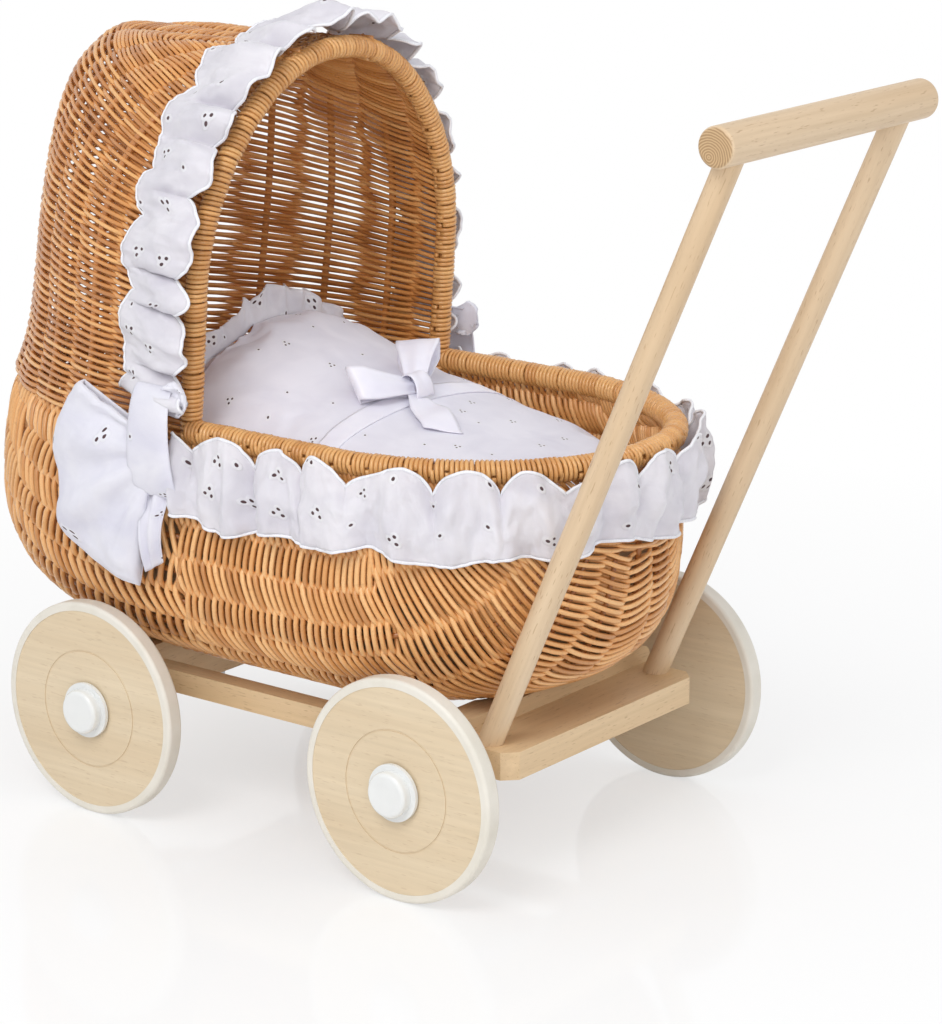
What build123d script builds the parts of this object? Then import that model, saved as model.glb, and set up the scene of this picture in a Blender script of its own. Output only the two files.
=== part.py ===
from build123d import *
import math
import os

os.makedirs("parts", exist_ok=True)

# A wicker doll pram on a beech frame with four wooden wheels.
# Millimetres. X runs toward the push handle, Y across, Z up.
# The origin is on the floor, midway between the two axles.

# Wheels
tyre_diameter = 152.0
tyre_thickness = 6.0
tyre_width = 13.0
tyre_edge_radius = 2.6
disc_width = 12.0
disc_ring_radius = 42.0
disc_ring_width = 1.2
disc_ring_depth = 0.5
bush_diameter = 16.0
bush_length = 14.0
wheel_centre_y = 152.3
running_clearance = 0.05
side_clearance = 0.3

# Axles, spacers and hub caps
axle_diameter = 8.0
axle_grip = 7.0
spacer_diameter = 14.0
cap_flange_diameter = 39.0
cap_flange_thickness = 2.5
cap_diameter = 31.0
cap_height = 10.0
cap_edge_radius = 3.0

# Cross bearers and side rails
bearer_width = 22.0
bearer_height = 38.0
bearer_length = 226.0
bearer_end_radius = 8.0
bearer_setback = 84.75
rail_width = 16.0
rail_height = 16.0
rail_spacing = 196.0
rail_lift = 9.0
dowel_diameter = 8.0
dowel_depth = 17.0

# Axle straps and screws under the bearers
strap_length = 16.0
strap_thickness = 1.5
strap_spacing = 120.0
strap_screw_diameter = 3.0
strap_screw_depth = 12.0
strap_screw_offset = 7.5
strap_screw_head = 5.6
strap_screw_head_height = 1.6
basket_screw_diameter = 4.0
basket_screw_spacing = 60.0
basket_screw_bite = 4.0
basket_screw_head = 7.0
basket_screw_head_height = 2.0

# Handle
board_width = 44.0
board_thickness = 19.0
board_length = 214.0
board_corner = 9.0
board_lift = 7.0
board_dowel_spacing = 100.0
post_diameter = 17.0
post_spacing = 190.0
post_foot_inset = 17.3
post_socket_depth = 12.0
bar_reach = 200.75
bar_rise = 415.0
bar_diameter = 26.0
bar_length = 238.0
bar_end_radius = 3.0

# Basket: a woven tub whose rim follows straight sides and two rounded ends
rim_diameter = 18.0
basket_half_width = 139.5
basket_front_reach = 221.0
basket_back_reach = 262.6
basket_depth = 180.0
basket_saddle = 8.0
basket_wall = 7.0
basket_side_bulge = 13.0
basket_back_bulge = 9.0
basket_row_depth = 3.0
basket_rows = 7
basket_row_end = 0.86
front_straight_share = 0.28
back_straight_share = 0.115
front_turn = math.radians(45.0)
back_turn = math.radians(40.0)

# Hood: a woven shell behind a wrapped arch
arch_foot_x = -57.0
arch_lean = math.radians(4.2)
arch_diameter = 16.0
arch_half_width = 134.0
arch_height = 244.0
arch_leg = 90.0
arch_turn = math.radians(45.0)
hood_cover = 4.0
hood_wall = 6.0
hood_back_lean = 20.5
hood_flare = 15.8
hood_crown = 5.0
hood_row_depth = 2.5
hood_rows = 9
hood_row_end = 0.82

# Bedding
bedding_clearance = 0.3
mattress_height = 112.0
mattress_edge = 7.0
duvet_head_x = -100.0
duvet_foot_gap = 14.0
duvet_side_gap = 3.0
duvet_side_draw = 8.0
duvet_edge_drop = 12.0
duvet_edge_rise = 24.0
duvet_edge_fall = 10.0
duvet_crown_drop = 12.0
duvet_crown_rise = 72.0
duvet_crown_fall = 16.0
pillow_taper = 10.0
pillow_back_gap = 69.3
pillow_half_width = 98.0
pillow_crown = 92.0
ribbon_x = 28.0
ribbon_width = 24.0
ribbon_thickness = 1.4

# Frills and bows
frill_thickness = 1.6
frill_gap = 0.5
body_frill_top = 3.0
body_frill_height = 57.0
body_frill_folds = 22
body_frill_top_wave = 2.2
body_frill_hem_wave = 4.5
body_frill_start = 16.0
hood_frill_width = 40.0
hood_frill_overhang = 7.0
hood_frill_folds = 22
hood_frill_back_wave = 1.0
hood_frill_front_wave = 3.5
hood_frill_foot = 30.0
bow_gap = 0.5
bow_thickness = 13.0
knot_length = 30.0
knot_height = 62.0
knot_rise = -10.0
wing_length = 88.0
wing_height = 92.0
tail_drop = 74.0
tail_width = 54.0
ribbon_loop_length = 50.0
ribbon_loop_width = 26.0
ribbon_loop_height = 13.0
ribbon_knot = 15.0

# Places that follow from the sizes
axle_height = tyre_diameter / 2
axle_radius = axle_diameter / 2
bearer_x = basket_front_reach - bearer_setback
bearer_bottom = axle_height - axle_radius
bearer_top = bearer_bottom + bearer_height
basket_bottom = bearer_top - basket_saddle
rim_height = basket_bottom + basket_depth
mattress_top = basket_bottom + mattress_height
bearer_half = bearer_length / 2
rail_bottom = bearer_bottom + rail_lift
rail_centre_z = rail_bottom + rail_height / 2
board_x0 = bearer_x + bearer_width / 2
board_bottom = bearer_bottom + board_lift
board_top = board_bottom + board_thickness
bar_x = board_x0 + bar_reach
bar_z = board_top + bar_rise
board_centre_z = board_bottom + board_thickness / 2
post_foot_x = board_x0 + post_foot_inset
post_lean = math.atan2(bar_x - post_foot_x, bar_z - board_top)
rim_radius = rim_diameter / 2
rim_half_width = basket_half_width - basket_wall / 2
front_straight = front_straight_share * basket_front_reach
back_straight = arch_foot_x - back_straight_share * basket_back_reach
arch_radius = arch_diameter / 2
arch_slope = math.tan(arch_lean)


def save(shape, node):
    export_step(shape, "parts/" + node + ".step")


def end_radii(half_width, reach, turn):
    # Radii of the side arc and the tip arc that round off one end of an outline.
    c = math.cos(turn)
    s = math.sin(turn)
    scale = c * s - (1 - c) * (1 - s)
    side = (c * reach - (1 - s) * half_width) / scale
    tip = (s * half_width - (1 - c) * reach) / scale
    return side, tip


def end_points(half_width, straight, reach, turn):
    # Start, middle and end of the side arc, and the tip, as (along, across).
    side, tip = end_radii(half_width, reach, turn)

    def on_side(angle):
        return (straight + side * math.sin(angle), half_width - side + side * math.cos(angle))

    return (straight, half_width), on_side(turn / 2), on_side(turn), (straight + reach, 0.0)


def end_distance(half_width, straight, reach, turn):
    # Length of one half of an outline, from where the straight starts at zero to the tip.
    side, tip = end_radii(half_width, reach, turn)
    return straight + side * turn + tip * (math.pi / 2 - turn)


def end_at(share, half_width, straight, reach, turn, offset):
    # Point (along, across) at a share of the way round an outline, moved outward by offset.
    side, tip = end_radii(half_width, reach, turn)
    half = end_distance(half_width, straight, reach, turn)
    walked = 2 * half * share
    mirror = 1.0
    if walked > half:
        walked = 2 * half - walked
        mirror = -1.0
    if walked <= straight:
        along, across = walked, half_width + offset
    elif walked <= straight + side * turn:
        angle = (walked - straight) / side
        along = straight + (side + offset) * math.sin(angle)
        across = half_width - side + (side + offset) * math.cos(angle)
    else:
        angle = turn + (walked - straight - side * turn) / tip
        along = straight + (side - tip) * math.sin(turn) + (tip + offset) * math.sin(angle)
        across = (tip + offset) * math.cos(angle)
    return along, mirror * across


def end_width(along, half_width, straight, reach, turn, offset):
    # Half-width of an outline at a place along it, moved outward by offset.
    side, tip = end_radii(half_width, reach, turn)
    if along <= straight:
        return half_width + offset
    if along <= straight + (side + offset) * math.sin(turn):
        return half_width - side + math.sqrt((side + offset) ** 2 - (along - straight) ** 2)
    centre = straight + (side - tip) * math.sin(turn)
    return math.sqrt(max((tip + offset) ** 2 - (along - centre) ** 2, 0.0))


def basket_sizes(depth_share):
    # Half-width, front reach and back reach of the basket's outside at a share of its depth.
    swell = math.sin(math.pi * depth_share)
    d = 0.98 * depth_share
    half_width = (basket_half_width + basket_side_bulge * swell) * (1 - d ** 6.0) ** (1 / 2.9)
    front = basket_front_reach * (1 - d ** 5.5) ** (1 / 3.0)
    back = (basket_back_reach + basket_back_bulge * swell) * (1 - d ** 7.5) ** (1 / 3.1)
    return half_width, front, back


def oval(z, half_width, front, back, inset):
    # Closed basket outline at one height, from eight lines and arcs.
    w = half_width - inset
    front_start = front_straight_share * front
    back_start = back_straight_share * back
    f0, f1, f2, f3 = end_points(w, front_start, front - inset - front_start, front_turn)
    b0, b1, b2, b3 = end_points(w, back_start, back - inset - back_start, back_turn)

    def at_front(p, sign):
        return (p[0], sign * p[1], z)

    def at_back(p, sign):
        return (arch_foot_x - p[0], sign * p[1], z)

    edges = [
        Line(at_back(b0, -1), at_front(f0, -1)),
        ThreePointArc(at_front(f0, -1), at_front(f1, -1), at_front(f2, -1)),
        ThreePointArc(at_front(f2, -1), at_front(f3, 1), at_front(f2, 1)),
        ThreePointArc(at_front(f2, 1), at_front(f1, 1), at_front(f0, 1)),
        Line(at_front(f0, 1), at_back(b0, 1)),
        ThreePointArc(at_back(b0, 1), at_back(b1, 1), at_back(b2, 1)),
        ThreePointArc(at_back(b2, 1), at_back(b3, 1), at_back(b2, -1)),
        ThreePointArc(at_back(b2, -1), at_back(b1, -1), at_back(b0, -1)),
    ]
    return Wire(edges)


def basket_oval(z, depth, inset):
    half_width, front, back = basket_sizes((rim_height - z) / depth)
    return oval(z, half_width, front, back, inset)


def screw(x, y, z, up, diameter, length, head, head_height):
    # Round-headed screw with its head's seat at z and its shank along up, which is 1 or -1.
    shank = Pos(x, y, z + up * length / 2) * Cylinder(diameter / 2, length)
    cap = Pos(x, y, z - up * head_height / 2) * Cylinder(head / 2, head_height)
    return shank + cap


def across_rod(x, z, radius, y0, y1):
    return Pos(x, (y0 + y1) / 2, z) * Rot(90, 0, 0) * Cylinder(radius, y1 - y0)


def along_rod(y, z, radius, x0, x1):
    return Pos((x0 + x1) / 2, y, z) * Rot(0, 90, 0) * Cylinder(radius, x1 - x0)


# Wheels, each a disc, a tyre and a bush that turn together on a fixed axle
disc_radius = tyre_diameter / 2 - tyre_thickness
bush_bore = axle_radius + running_clearance
bush_outer = wheel_centre_y + bush_length / 2
bush_inner = wheel_centre_y - bush_length / 2
corners = {}
for end_name, end_sign in (("handle", 1), ("hood", -1)):
    for side_name, side_sign in (("left", -1), ("right", 1)):
        corners[end_name + "_" + side_name] = (end_sign * bearer_x, side_sign)

for corner, (wheel_x, side_sign) in corners.items():
    centre_y = side_sign * wheel_centre_y

    def ring(outer, inner, length, y):
        outside = across_rod(wheel_x, axle_height, outer, y - length / 2, y + length / 2)
        return outside - across_rod(wheel_x, axle_height, inner, y - length, y + length)

    disc = ring(disc_radius, bush_diameter / 2, disc_width, centre_y)
    face_y = centre_y + side_sign * disc_width / 2
    disc = disc - ring(disc_ring_radius, disc_ring_radius - disc_ring_width, 2 * disc_ring_depth, face_y)
    save(disc, "wheel_disc_" + corner)

    tyre = ring(tyre_diameter / 2, disc_radius, tyre_width, centre_y)
    outer_edges = tyre.edges().filter_by(GeomType.CIRCLE).sort_by(SortBy.RADIUS)[-2:]
    tyre = fillet(outer_edges, min(tyre_edge_radius, tyre_width / 2 - 0.5))
    save(tyre, "wheel_tyre_" + corner)

    save(ring(bush_diameter / 2, bush_bore, bush_length, centre_y), "wheel_bush_" + corner)

    cap_y = side_sign * (bush_outer + side_clearance)
    flange_y = cap_y + side_sign * cap_flange_thickness
    top_y = cap_y + side_sign * cap_height
    dome = across_rod(wheel_x, axle_height, cap_diameter / 2, min(cap_y, top_y), max(cap_y, top_y))
    dome = fillet(dome.edges().sort_by(Axis.Y)[-1 if side_sign > 0 else 0], cap_edge_radius)
    flange = across_rod(
        wheel_x, axle_height, cap_flange_diameter / 2, min(cap_y, flange_y), max(cap_y, flange_y)
    )
    grip_y = cap_y + side_sign * axle_grip
    hole = across_rod(wheel_x, axle_height, axle_radius, min(cap_y, grip_y), max(cap_y, grip_y))
    save(dome + flange - hole, "hub_cap_" + corner)

# Fixed axles with a spacer tube between each bearer end and its wheel
axle_half = bush_outer + side_clearance + axle_grip
spacers = []
for end_name, end_sign in (("handle_end", 1), ("hood_end", -1)):
    rod_x = end_sign * bearer_x
    save(across_rod(rod_x, axle_height, axle_radius, -axle_half, axle_half), "axle_" + end_name)
    for side_sign in (-1, 1):
        y0 = bearer_half
        y1 = bush_inner - side_clearance
        tube_y = sorted((side_sign * y0, side_sign * y1))
        tube = across_rod(rod_x, axle_height, spacer_diameter / 2, tube_y[0], tube_y[1])
        spacers.append(tube - across_rod(rod_x, axle_height, axle_radius, tube_y[0], tube_y[1]))
save(Compound(children=spacers), "axle_spacers")

# Basket shell, rim and hood are shaped first, because the bearers and bedding fit them
rim_start = (arch_foot_x, -rim_half_width, rim_height)
rim_reach = basket_front_reach - basket_wall / 2 - front_straight
f0, f1, f2, f3 = end_points(rim_half_width, front_straight, rim_reach, front_turn)
rim_path = Wire(
    [
        Line(rim_start, (f0[0], -f0[1], rim_height)),
        ThreePointArc((f0[0], -f0[1], rim_height), (f1[0], -f1[1], rim_height), (f2[0], -f2[1], rim_height)),
        ThreePointArc((f2[0], -f2[1], rim_height), (f3[0], 0, rim_height), (f2[0], f2[1], rim_height)),
        ThreePointArc((f2[0], f2[1], rim_height), (f1[0], f1[1], rim_height), (f0[0], f0[1], rim_height)),
        Line((f0[0], f0[1], rim_height), (arch_foot_x, rim_half_width, rim_height)),
    ]
)
rim_tube = sweep(Plane(rim_start, z_dir=(1, 0, 0)) * Circle(rim_radius), path=rim_path)

# The arch stands in a plane that leans a little toward the handle
arch_plane = Plane(
    origin=(arch_foot_x, 0, rim_height),
    x_dir=(0, 1, 0),
    z_dir=(math.cos(arch_lean), 0, -math.sin(arch_lean)),
)


def on_arch(across, up, depth):
    return arch_plane.from_local_coords(Vector(across, up, -depth))


a0, a1, a2, a3 = end_points(arch_half_width, arch_leg, arch_height - arch_leg, arch_turn)
arch_points = [(-a0[1], -rim_radius), (-a0[1], a0[0]), (-a1[1], a1[0]), (-a2[1], a2[0]), (0, a3[0])]
arch_points += [(a2[1], a2[0]), (a1[1], a1[0]), (a0[1], a0[0]), (a0[1], -rim_radius)]
p = [on_arch(across, up, 0) for across, up in arch_points]
arch_path = Wire(
    [
        Line(p[0], p[1]),
        ThreePointArc(p[1], p[2], p[3]),
        ThreePointArc(p[3], p[4], p[5]),
        ThreePointArc(p[5], p[6], p[7]),
        Line(p[7], p[8]),
    ]
)
arch_up = (math.sin(arch_lean), 0, math.cos(arch_lean))
arch_tube = sweep(Plane(p[0], z_dir=arch_up) * Circle(arch_radius), path=arch_path)
save(arch_tube, "hood_arch")
rim_tube = rim_tube - arch_tube
save(rim_tube, "basket_rim")

# Hood shell, open at the arch and underneath
hood_top = arch_height + hood_cover


def woven_rows(rows, row_end, row_depth):
    # Sections of a woven wall as (share, inset): a crest at each row of the weave, a hollow between.
    return [(row_end * i / (2 * rows), row_depth if i % 2 else 0.0) for i in range(2 * rows + 1)]


def half_space(z0, z1):
    # Block between two heights, wider than the whole pram.
    return Pos(0, 0, (z0 + z1) / 2) * Box(4 * basket_back_reach, 4 * basket_half_width, z1 - z0)



def hood_sizes(share):
    # Half-width, depth behind the arch and straight length of the hood at a share of its height.
    up = hood_top * share
    half_width = end_width(up, arch_half_width, arch_leg, arch_height - arch_leg, arch_turn, hood_cover)
    depth = basket_back_reach - hood_flare - hood_back_lean * share + hood_flare * math.exp(-share / 0.1)
    depth = depth * (1 - share ** 11.6) ** (1 / 8.3)
    straight = depth * (back_straight_share + 0.45 * share ** 4)
    return half_width, depth, straight


def hood_section(share, z, inset, front_offset):
    half_width, depth, straight = hood_sizes(share)
    front_x = arch_foot_x + arch_slope * (z - rim_height)
    w = half_width - inset
    b0, b1, b2, b3 = end_points(w, straight, depth - inset - straight, back_turn)

    def at(point, sign):
        return (front_x - point[0], sign * point[1], z)

    open_x = front_x + front_offset
    edges = [
        Line((open_x, w, z), at(b0, 1)),
        ThreePointArc(at(b0, 1), at(b1, 1), at(b2, 1)),
        ThreePointArc(at(b2, 1), at(b3, 1), at(b2, -1)),
        ThreePointArc(at(b2, -1), at(b1, -1), at(b0, -1)),
        Line(at(b0, -1), (open_x, -w, z)),
        Line((open_x, -w, z), (open_x, w, z)),
    ]
    return Wire(edges)


hood_shares = [0.0, 0.06, 0.15, 0.3, 0.45, 0.6, 0.72, 0.82, 0.9, 0.95, 0.975]


def hood_level(share, height):
    return rim_height + height * share + hood_crown * share ** 12


hood_outer = Solid.make_loft(
    [hood_section(s, hood_level(s, hood_top), 0.0, -0.2 * arch_radius) for s in hood_shares]
)
hood_wall_rows = Solid.make_loft(
    [
        hood_section(share, hood_level(share, hood_top), inset, -0.2 * arch_radius)
        for share, inset in woven_rows(hood_rows, hood_row_end, hood_row_depth)
    ],
    ruled=True,
)
hood_row_top = hood_level(hood_row_end, hood_top)
hood_outer = hood_wall_rows + (hood_outer - half_space(rim_height - hood_top, hood_row_top))
hood_inner_sections = [hood_section(0.0, rim_height - hood_wall, hood_wall, 4 * arch_radius)]
hood_inner_sections += [
    hood_section(s, hood_level(s, hood_top - hood_wall), hood_wall, 4 * arch_radius) for s in hood_shares
]
hood_inner = Solid.make_loft(hood_inner_sections)
hood_shell = hood_outer - hood_inner - arch_tube
save(hood_shell, "hood_shell")

# Basket shell
basket_shares = [0.0, 0.2, 0.4, 0.6, 0.75, 0.86, 0.94, 1.0]
basket_outer = Solid.make_loft(
    [basket_oval(rim_height - basket_depth * s, basket_depth, 0.0) for s in basket_shares]
)
hollow_depth = basket_depth - basket_wall
basket_inner = Solid.make_loft(
    [basket_oval(rim_height - hollow_depth * s, hollow_depth, basket_wall) for s in basket_shares]
)
basket_wall_rows = Solid.make_loft(
    [
        basket_oval(rim_height - basket_depth * share, basket_depth, inset)
        for share, inset in woven_rows(basket_rows, basket_row_end, basket_row_depth)
    ],
    ruled=True,
)
basket_row_bottom = rim_height - basket_depth * basket_row_end
basket_woven = basket_wall_rows + (basket_outer - half_space(basket_row_bottom, rim_height + basket_depth))
basket_shell = basket_woven - basket_inner - rim_tube - arch_tube

# Cross bearers, saddled to the basket and grooved underneath for the axles
frame_dowels = []
straps = []
strap_screws = []
basket_screws = []
dowel_radius = dowel_diameter / 2
for end_name, end_sign in (("handle_end", 1), ("hood_end", -1)):
    x = end_sign * bearer_x
    bar = Pos(x, 0, bearer_bottom + bearer_height / 2) * Box(bearer_width, bearer_length, bearer_height)
    top_ends = bar.edges().filter_by(Axis.X).group_by(Axis.Z)[-1]
    bar = fillet(top_ends, bearer_end_radius)
    bar = bar - across_rod(x, axle_height, axle_radius, -bearer_half, bearer_half)
    groove = Pos(x, 0, bearer_bottom + axle_radius / 2) * Box(axle_diameter, bearer_length, axle_radius)
    bar = bar - groove - basket_outer
    inner_x = end_sign * (bearer_x - bearer_width / 2)
    for side_sign in (-1, 1):
        ends = sorted((inner_x - end_sign * dowel_depth, inner_x + end_sign * dowel_depth))
        pin = along_rod(side_sign * rail_spacing / 2, rail_centre_z, dowel_radius, ends[0], ends[1])
        frame_dowels.append(pin)
        bar = bar - pin
        strap_y = side_sign * strap_spacing / 2
        strap_z = bearer_bottom - strap_thickness / 2
        plate = Pos(x, strap_y, strap_z) * Box(bearer_width, strap_length, strap_thickness)
        for offset in (-strap_screw_offset, strap_screw_offset):
            fixing = screw(
                x + offset, strap_y, bearer_bottom - strap_thickness, 1,
                strap_screw_diameter, strap_screw_depth, strap_screw_head, strap_screw_head_height,
            )
            strap_screws.append(fixing)
            plate = plate - fixing
            bar = bar - fixing
        straps.append(plate)
        screw_y = side_sign * basket_screw_spacing / 2
        screw_x = x - end_sign * strap_screw_offset
        seat = basket_outer & Pos(screw_x, screw_y, basket_bottom + basket_depth / 2) * Box(
            basket_screw_diameter, basket_screw_diameter, basket_depth
        )
        bite_top = seat.bounding_box().min.Z + basket_screw_bite
        fixing = screw(
            screw_x, screw_y, bearer_bottom, 1,
            basket_screw_diameter, bite_top - bearer_bottom, basket_screw_head, basket_screw_head_height,
        )
        basket_screws.append(fixing)
        bar = bar - fixing
        basket_shell = basket_shell - fixing
    if end_sign > 0:
        for side_sign in (-1, 1):
            pin = along_rod(
                side_sign * board_dowel_spacing / 2, board_centre_z, dowel_radius,
                board_x0 - dowel_depth, board_x0 + dowel_depth,
            )
            frame_dowels.append(pin)
            bar = bar - pin
    save(bar, end_name + "_bearer")
save(basket_shell, "basket_body")
save(Compound(children=straps), "axle_straps")
save(Compound(children=strap_screws), "strap_screws")
save(Compound(children=basket_screws), "basket_screws")

# Side rails between the bearers
rail_half_length = bearer_x - bearer_width / 2
for side_name, side_sign in (("left", -1), ("right", 1)):
    rail = Pos(0, side_sign * rail_spacing / 2, rail_centre_z) * Box(
        2 * rail_half_length, rail_width, rail_height
    )
    for pin in frame_dowels:
        rail = rail - pin
    save(rail, "side_rail_" + side_name)

# Handle board on the handle-end bearer, with a slanted socket for each post
board = Pos(board_x0 + board_width / 2, 0, board_centre_z) * Box(board_width, board_length, board_thickness)
front_corners = board.edges().filter_by(Axis.Z).group_by(Axis.X)[-1]
board = chamfer(front_corners, board_corner)
for pin in frame_dowels:
    board = board - pin
bar_rod = across_rod(bar_x, bar_z, bar_diameter / 2, -bar_length / 2, bar_length / 2)
bar_rod = fillet(bar_rod.edges().filter_by(GeomType.CIRCLE), bar_end_radius)
post_direction = Vector(math.sin(post_lean), 0, math.cos(post_lean))
post_run = math.hypot(bar_x - post_foot_x, bar_z - board_top) + post_socket_depth
for side_name, side_sign in (("left", -1), ("right", 1)):
    top = Vector(bar_x, side_sign * post_spacing / 2, bar_z)
    foot = top - post_direction * post_run
    post = Plane(foot, z_dir=post_direction) * Cylinder(
        post_diameter / 2, post_run, align=(Align.CENTER, Align.CENTER, Align.MIN)
    )
    save(post, "handle_post_" + side_name)
    board = board - post
    bar_rod = bar_rod - post
save(board, "handle_board")
save(bar_rod, "handle_bar")
save(Compound(children=frame_dowels), "frame_dowels")

# Mattress: a pad that fills the lower basket
mattress_inset = basket_wall + bedding_clearance
mattress_depth = hollow_depth - bedding_clearance
mattress = Solid.make_loft(
    [basket_oval(rim_height - mattress_depth * s, mattress_depth, mattress_inset) for s in basket_shares]
)
above = Pos(0, 0, mattress_top + basket_depth / 2) * Box(
    4 * basket_back_reach, 4 * basket_half_width, basket_depth
)
mattress = mattress - above
mattress = fillet(mattress.faces().sort_by(Axis.Z)[-1].edges(), mattress_edge)
save(mattress, "mattress")

# Duvet: higher at the hood, crowned across, with drawn-in sides
soft_bottom = mattress_top + bedding_clearance
rim_inner = -rim_radius - duvet_side_gap
duvet_foot_x = basket_front_reach - basket_wall / 2 - rim_radius - duvet_foot_gap
duvet_run = duvet_foot_x - duvet_head_x


def duvet_section(share):
    # Places, half-width, edge height and crown height of one cross-section of the duvet.
    x = duvet_head_x + duvet_run * share
    half_width = end_width(x, rim_half_width, front_straight, rim_reach, front_turn, rim_inner)
    head = (1 - share) ** 2.2
    edge = rim_height - rim_radius - duvet_edge_drop + duvet_edge_rise * head - duvet_edge_fall * share ** 3
    crown = rim_height - duvet_crown_drop + duvet_crown_rise * head - duvet_crown_fall * share ** 2
    return x, half_width, edge, crown


def duvet_wire(share):
    x, half_width, edge, crown = duvet_section(share)
    draw = min(duvet_side_draw, half_width / 4)
    low = half_width - draw
    mid_z = (soft_bottom + edge) / 2
    top = half_width - draw / 2
    edges = [
        Line((x, -low, soft_bottom), (x, low, soft_bottom)),
        ThreePointArc((x, low, soft_bottom), (x, half_width, mid_z), (x, top, edge)),
        ThreePointArc((x, top, edge), (x, 0, crown), (x, -top, edge)),
        ThreePointArc((x, -top, edge), (x, -half_width, mid_z), (x, -low, soft_bottom)),
    ]
    return Wire(edges)


duvet_shares = [0.0, 0.14, 0.3, 0.5, 0.7, 0.85, 0.94, 1.0]
save(Solid.make_loft([duvet_wire(s) for s in duvet_shares], ruled=True), "duvet")

# Pillow: a crowned cushion behind the duvet, under the hood
pillow_foot_x = duvet_head_x - bedding_clearance
pillow_length = pillow_foot_x - (arch_foot_x - basket_back_reach + pillow_back_gap)


def pillow_wire(share):
    x = pillow_foot_x - pillow_length * share
    swell = math.sin(math.pi * (0.08 + 0.84 * share))
    half_width = pillow_half_width * (0.62 + 0.38 * swell) - pillow_taper * share ** 2
    crown = soft_bottom + pillow_crown * (0.3 + 0.7 * swell)
    edge = soft_bottom + 0.3 * (crown - soft_bottom)
    edges = [
        Line((x, -half_width, soft_bottom), (x, half_width, soft_bottom)),
        Line((x, half_width, soft_bottom), (x, half_width, edge)),
        ThreePointArc((x, half_width, edge), (x, 0, crown), (x, -half_width, edge)),
        Line((x, -half_width, edge), (x, -half_width, soft_bottom)),
    ]
    return Wire(edges)


save(Solid.make_loft([pillow_wire(s) for s in (0.0, 0.15, 0.35, 0.6, 0.85, 1.0)]), "pillow")


def duvet_surface(x):
    # Top edge half-width, edge height and crown height of the duvet between two of its sections.
    share = (x - duvet_head_x) / duvet_run
    upper = next(s for s in duvet_shares if s >= share)
    lower = duvet_shares[max(duvet_shares.index(upper) - 1, 0)]
    mix = (share - lower) / (upper - lower)
    sizes = []
    for s in (lower, upper):
        _, half_width, edge, crown = duvet_section(s)
        sizes.append((half_width - min(duvet_side_draw, half_width / 4) / 2, edge, crown))
    return [a + (b - a) * mix for a, b in zip(sizes[0], sizes[1])]


def ribbon_wire(x):
    top, edge, crown = duvet_surface(x)
    low = bedding_clearance
    high = bedding_clearance + ribbon_thickness
    edges = [
        ThreePointArc((x, -top, edge + low), (x, 0, crown + low), (x, top, edge + low)),
        Line((x, top, edge + low), (x, top, edge + high)),
        ThreePointArc((x, top, edge + high), (x, 0, crown + high), (x, -top, edge + high)),
        Line((x, -top, edge + high), (x, -top, edge + low)),
    ]
    return Wire(edges)


ribbon_edges = [ribbon_x - ribbon_width / 2, ribbon_x + ribbon_width / 2]
save(Solid.make_loft([ribbon_wire(x) for x in ribbon_edges], ruled=True), "duvet_ribbon")


def lens(centre, half, thick, long_axis, thin_axis):
    # Cross-section with one flat side at the centre and one rounded side.
    c = Vector(*centre)
    a = Vector(*long_axis) * half
    t = Vector(*thin_axis) * thick
    return Wire([Line(c - a, c + a), ThreePointArc(c + a, c + t, c - a)])


# Ribbon bow at the middle of the band
knot_round = ribbon_knot / 5
bow_rest_x = ribbon_x - 0.4 * ribbon_width
bow_z = duvet_surface(bow_rest_x)[2] + bedding_clearance + ribbon_thickness + bedding_clearance
ribbon_bow = Pos(ribbon_x, 0, bow_z + ribbon_loop_height / 2) * Box(
    ribbon_knot, ribbon_knot, ribbon_loop_height
)
ribbon_bow = fillet(ribbon_bow.edges(), knot_round)
for side_sign in (-1, 1):
    loop_sections = []
    for share, wide, tall in ((0.0, 0.45, 0.7), (0.4, 0.85, 1.0), (0.8, 1.0, 0.9), (1.0, 0.7, 0.5)):
        place = (ribbon_x, side_sign * ribbon_loop_length * share, bow_z)
        loop_sections.append(
            lens(place, wide * ribbon_loop_width / 2, tall * ribbon_loop_height, (1, 0, 0), (0, 0, 1))
        )
    ribbon_bow = ribbon_bow + Solid.make_loft(loop_sections)
save(ribbon_bow, "duvet_bow")


def wave_wire(count, wave, thickness, place):
    # Closed outline of a folded strip: place gives a point at a share of the way and an offset.
    steps = 2 * count
    outer = []
    inner = []
    for i in range(steps):
        crest = wave if i % 2 == 0 else -wave
        ends = (i / steps, (i + 0.5) / steps, (i + 1) / steps)
        outer.append(
            ThreePointArc(
                place(ends[0], thickness), place(ends[1], crest + thickness), place(ends[2], thickness)
            )
        )
        inner.append(ThreePointArc(place(ends[2], 0), place(ends[1], crest), place(ends[0], 0)))
    edges = outer + [Line(place(1, thickness), place(1, 0))] + inner[::-1] + [Line(place(0, 0), place(0, thickness))]
    return Wire(edges)


# Frill round the outside of the basket, from arch foot to arch foot
frill_start_x = arch_foot_x + arch_radius + body_frill_start
frill_top_z = rim_height + body_frill_top
frill_hem_z = frill_top_z - body_frill_height


def frill_top_place(share, offset):
    straight = front_straight - frill_start_x
    clear = rim_radius + frill_gap + body_frill_top_wave
    along, across = end_at(share, rim_half_width, straight, rim_reach, front_turn, clear + offset)
    return (frill_start_x + along, -across, frill_top_z)


def frill_hem_place(share, offset):
    half_width, front, back = basket_sizes((rim_height - frill_hem_z) / basket_depth)
    start = front_straight_share * front
    clear = frill_gap + body_frill_hem_wave + rim_radius / 4
    along, across = end_at(
        share, half_width, start - frill_start_x, front - start, front_turn, clear + offset
    )
    return (frill_start_x + along, -across, frill_hem_z)


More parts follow.
